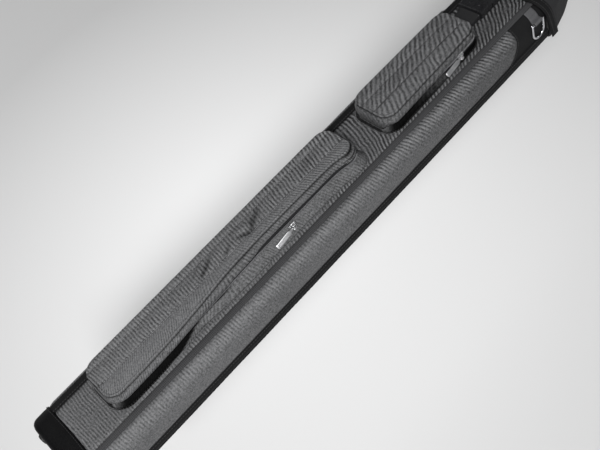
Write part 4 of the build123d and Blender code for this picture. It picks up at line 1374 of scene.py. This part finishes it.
def ring_tab(side, x_mid, inset, label, bar_z, s_top):
    """Webbing that comes down the side, goes round the ring's bar and back up under itself."""
    s = np.linspace(s_top, S_SIDE + 20, 60)
    y, z = sec(s, 1, -inset + 0.95)
    line = [(a, b) for a, b in zip(y, z) if b > bar_z + 1.6]
    r = 2.25
    cy = HALF_W - inset + 2.0
    for a in np.radians(np.linspace(80, -165, 26)):
        line.append((cy + r * math.cos(a), bar_z + r * math.sin(a)))
    y2, z2 = sec(s, 1, -inset + 0.2)
    back = [(a, b) for a, b in zip(y2, z2) if b > bar_z + 1.0][::-1][:10]
    p = spline(np.array(line + back)[::2], 90)
    tan = np.gradient(p, axis=0)
    tan /= np.linalg.norm(tan, axis=1)[:, None]
    nrm = np.stack([-tan[:, 1], tan[:, 0]], 1)
    v = np.linspace(-1, 1, 13)
    w = 14.5
    edge = np.sqrt(np.clip(1 - np.maximum(np.abs(v) - 0.9, 0) ** 2 / 0.1 ** 2, 0.06, 1))
    grids = []
    for sgn in (1, -1):
        q = p[:, None, :] + nrm[:, None, :] * (0.55 * sgn * edge)[None, :, None]
        xx = x_mid + np.broadcast_to(v[None, :] * w / 2, q.shape[:2])
        grids.append(np.stack([xx, side * q[..., 0], q[..., 1]], -1))
    d = np.r_[0, np.cumsum(np.hypot(*np.diff(p, axis=0).T))]
    at = {"cu": np.repeat(d[:, None], 13, 1), "cv": np.repeat((v * 8)[None], len(p), 0)}
    slab(label + "_ring_tab_webbing", grids[0], grids[1], SATIN, "case", at,
         label + "_ring_tab", flip=side < 0)
    sy, sz = sec(np.full(12, s_top + 9.0), side, -inset + 1.55)
    xs = np.linspace(x_mid - 7, x_mid + 7, 12)
    n_y, n_z = sec(np.full(12, s_top + 9.0), side, -inset + 2.55)
    line = np.stack([xs, sy, sz], 1)
    ups = np.stack([0 * xs, n_y - sy, n_z - sz], 1)
    stitches(label + "_ring_tab_stitches", line, ups, "case", THREAD_D, pitch=2.9,
             length=2.1, r=0.26)
    keep(label + "_d_ring", STEEL)


# ---- mouth and inside ----

def mouth():
    """Bound edge of the case's mouth, a closed loop round it."""
    n = 260
    x0, x1 = (corner[0] for corner in box_mm("mouth_binding"))
    rows = [(x0 - 1.0, -1.9), (x0 - 0.6, -1.55), (x1 - 1.5, -1.5), (x1 - 0.2, -1.8), (x1 + 0.25, -2.6),
            (x1 - 0.1, -3.5), (x1 - 1.2, -3.8), (x0, -3.8), (x0 - 0.8, -3.2)]
    verts, cu, cv = [], [], []
    for k, (x, g) in enumerate(rows):
        l, t = loop_section(n + 1, HALF_W + g, -g, Z_FRONT + g, R_F + g, R_B + g)
        verts.append(np.stack([np.full(n, x), l[:-1, 0], l[:-1, 1]], 1))
        cu.append(t[:-1])
        cv.append(np.full(n, k * 1.5))
    v = np.stack(verts, 1).reshape(-1, 3)
    m = len(rows)
    i = np.arange(n)[:, None] * m
    j = np.roll(i, -1, 0)
    a = np.arange(m)[None]
    b = np.roll(a, -1, 1)
    faces = np.stack([i + a, i + b, j + b, j + a], -1).reshape(-1, 4)
    at = {"cu": np.stack(cu, 1).ravel(), "cv": np.stack(cv, 1).ravel()}
    add_mesh("mouth_binding_tape", v, faces, TAPE, "case", at, "mouth_binding", sharp=75)


lid()
hem()
hinge_strip()
buckle()
ring_tab(-1, 331.0, 1.4, "upper", 46.0, 46.2)
ring_tab(1, -372.0, 0.0, "lower", 32.0, 68.5)
mouth()
for name in nodes:
    if "tube_" in name and "spacer" not in name:
        keep(name, TUBE)
for name in ("tube_spacer_1", "tube_spacer_2", "tube_spacer_3", "base_pad", "mouth_plate"):
    keep(name, FOAM)
keep("core_shell", BOARD)


# ---- stage, light and camera ----

# The floor's colour is a painted pool of light, lightest round this point, in metres.
LIGHT_POOL_MIDDLE = (0.0, 0.30)
FLOOR_HALF, FLOOR_Z = 6.0, -0.25

# The camera, fitted to the object's outline: angles in degrees, lengths in mm.
PITCH, YAW, ROLL, TURN = 53.989, 13.354, 0.871, 46.8
DISTANCE = 998.3
AIM = np.array([-58.3, -3.44, 30.0])


def floor():
    me = bpy.data.meshes.new("floor")
    corners = ((-1, -1), (1, -1), (1, 1), (-1, 1))
    me.from_pydata([(x * FLOOR_HALF, y * FLOOR_HALF, FLOOR_Z) for x, y in corners], [], [(0, 1, 2, 3)])
    ob = bpy.data.objects.new("floor", me)
    bpy.context.collection.objects.link(ob)
    m = Mat("floor_paint", rough=0.95, spec=0.1)
    x, y, _ = m.place()
    squares = [m.math("POWER", m.math("SUBTRACT", a, b), 2.0) for a, b in zip((x, y), LIGHT_POOL_MIDDLE)]
    off = m.math("SQRT", m.math("ADD", *squares))
    # Painted pool of light: the floor's colour fades from pale round that point to grey.
    m.color(m.mix(m.span(off, 0.08, 0.72, 0.0, 1.0), (0.90, 0.90, 0.90), (0.58, 0.58, 0.58)))
    me.materials.append(m.m)


def camera():
    """50 mm lens above the zip side, turned so that the case runs corner to corner."""
    e, t, roll, th = np.radians((PITCH, YAW, ROLL, TURN))
    v = np.array([math.sin(t), math.cos(t) * math.cos(e), -math.cos(t) * math.sin(e)])
    r0 = np.cross(v, (0, math.sin(e), math.cos(e)))
    r0 /= np.linalg.norm(r0)
    u0 = np.cross(r0, v)
    r = r0 * math.cos(roll) + u0 * math.sin(roll)
    u = u0 * math.cos(roll) - r0 * math.sin(roll)
    right = r * math.cos(th) - u * math.sin(th)
    up = r * math.sin(th) + u * math.cos(th)
    pos = (AIM - v * DISTANCE) * 0.001
    cam = bpy.data.cameras.new("camera")
    cam.lens = 50
    cam.sensor_width = 36
    ob = bpy.data.objects.new("camera", cam)
    m = Matrix.Identity(4)
    for i in range(3):
        m[i][0], m[i][1], m[i][2], m[i][3] = right[i], up[i], -v[i], pos[i]
    ob.matrix_world = m
    bpy.context.collection.objects.link(ob)
    bpy.context.scene.camera = ob


def area(name, place, target, size, power):
    li = bpy.data.lights.new(name, "AREA")
    li.shape = "RECTANGLE"
    li.size, li.size_y = size
    li.energy = power
    ob = bpy.data.objects.new(name, li)
    ob.location = place
    ob.rotation_euler = (Vector(target) - Vector(place)).to_track_quat("-Z", "Y").to_euler()
    bpy.context.collection.objects.link(ob)


floor()
camera()
area("end_light", (2.0, -0.3, 0.9), (0.2, 0, 0), (1.2, 1.2), 6)
key_place = Vector((-0.03, 0, 0)) + Vector((-0.40, -0.58, 0.72)) * 3.6
area("key", key_place, (-0.05, 0, 0), (1.0, 1.0), 172)
area("fill", (-0.5, 1.9, 1.1), (0, 0.05, 0), (1.6, 1.6), 13)
world = bpy.data.worlds.new("studio")
world.use_nodes = True
world.node_tree.nodes["Background"].inputs[0].default_value = (0.92, 0.94, 0.96, 1)
world.node_tree.nodes["Background"].inputs[1].default_value = 0.07
bpy.context.scene.world = world
bpy.context.scene.view_settings.view_transform = "Standard"
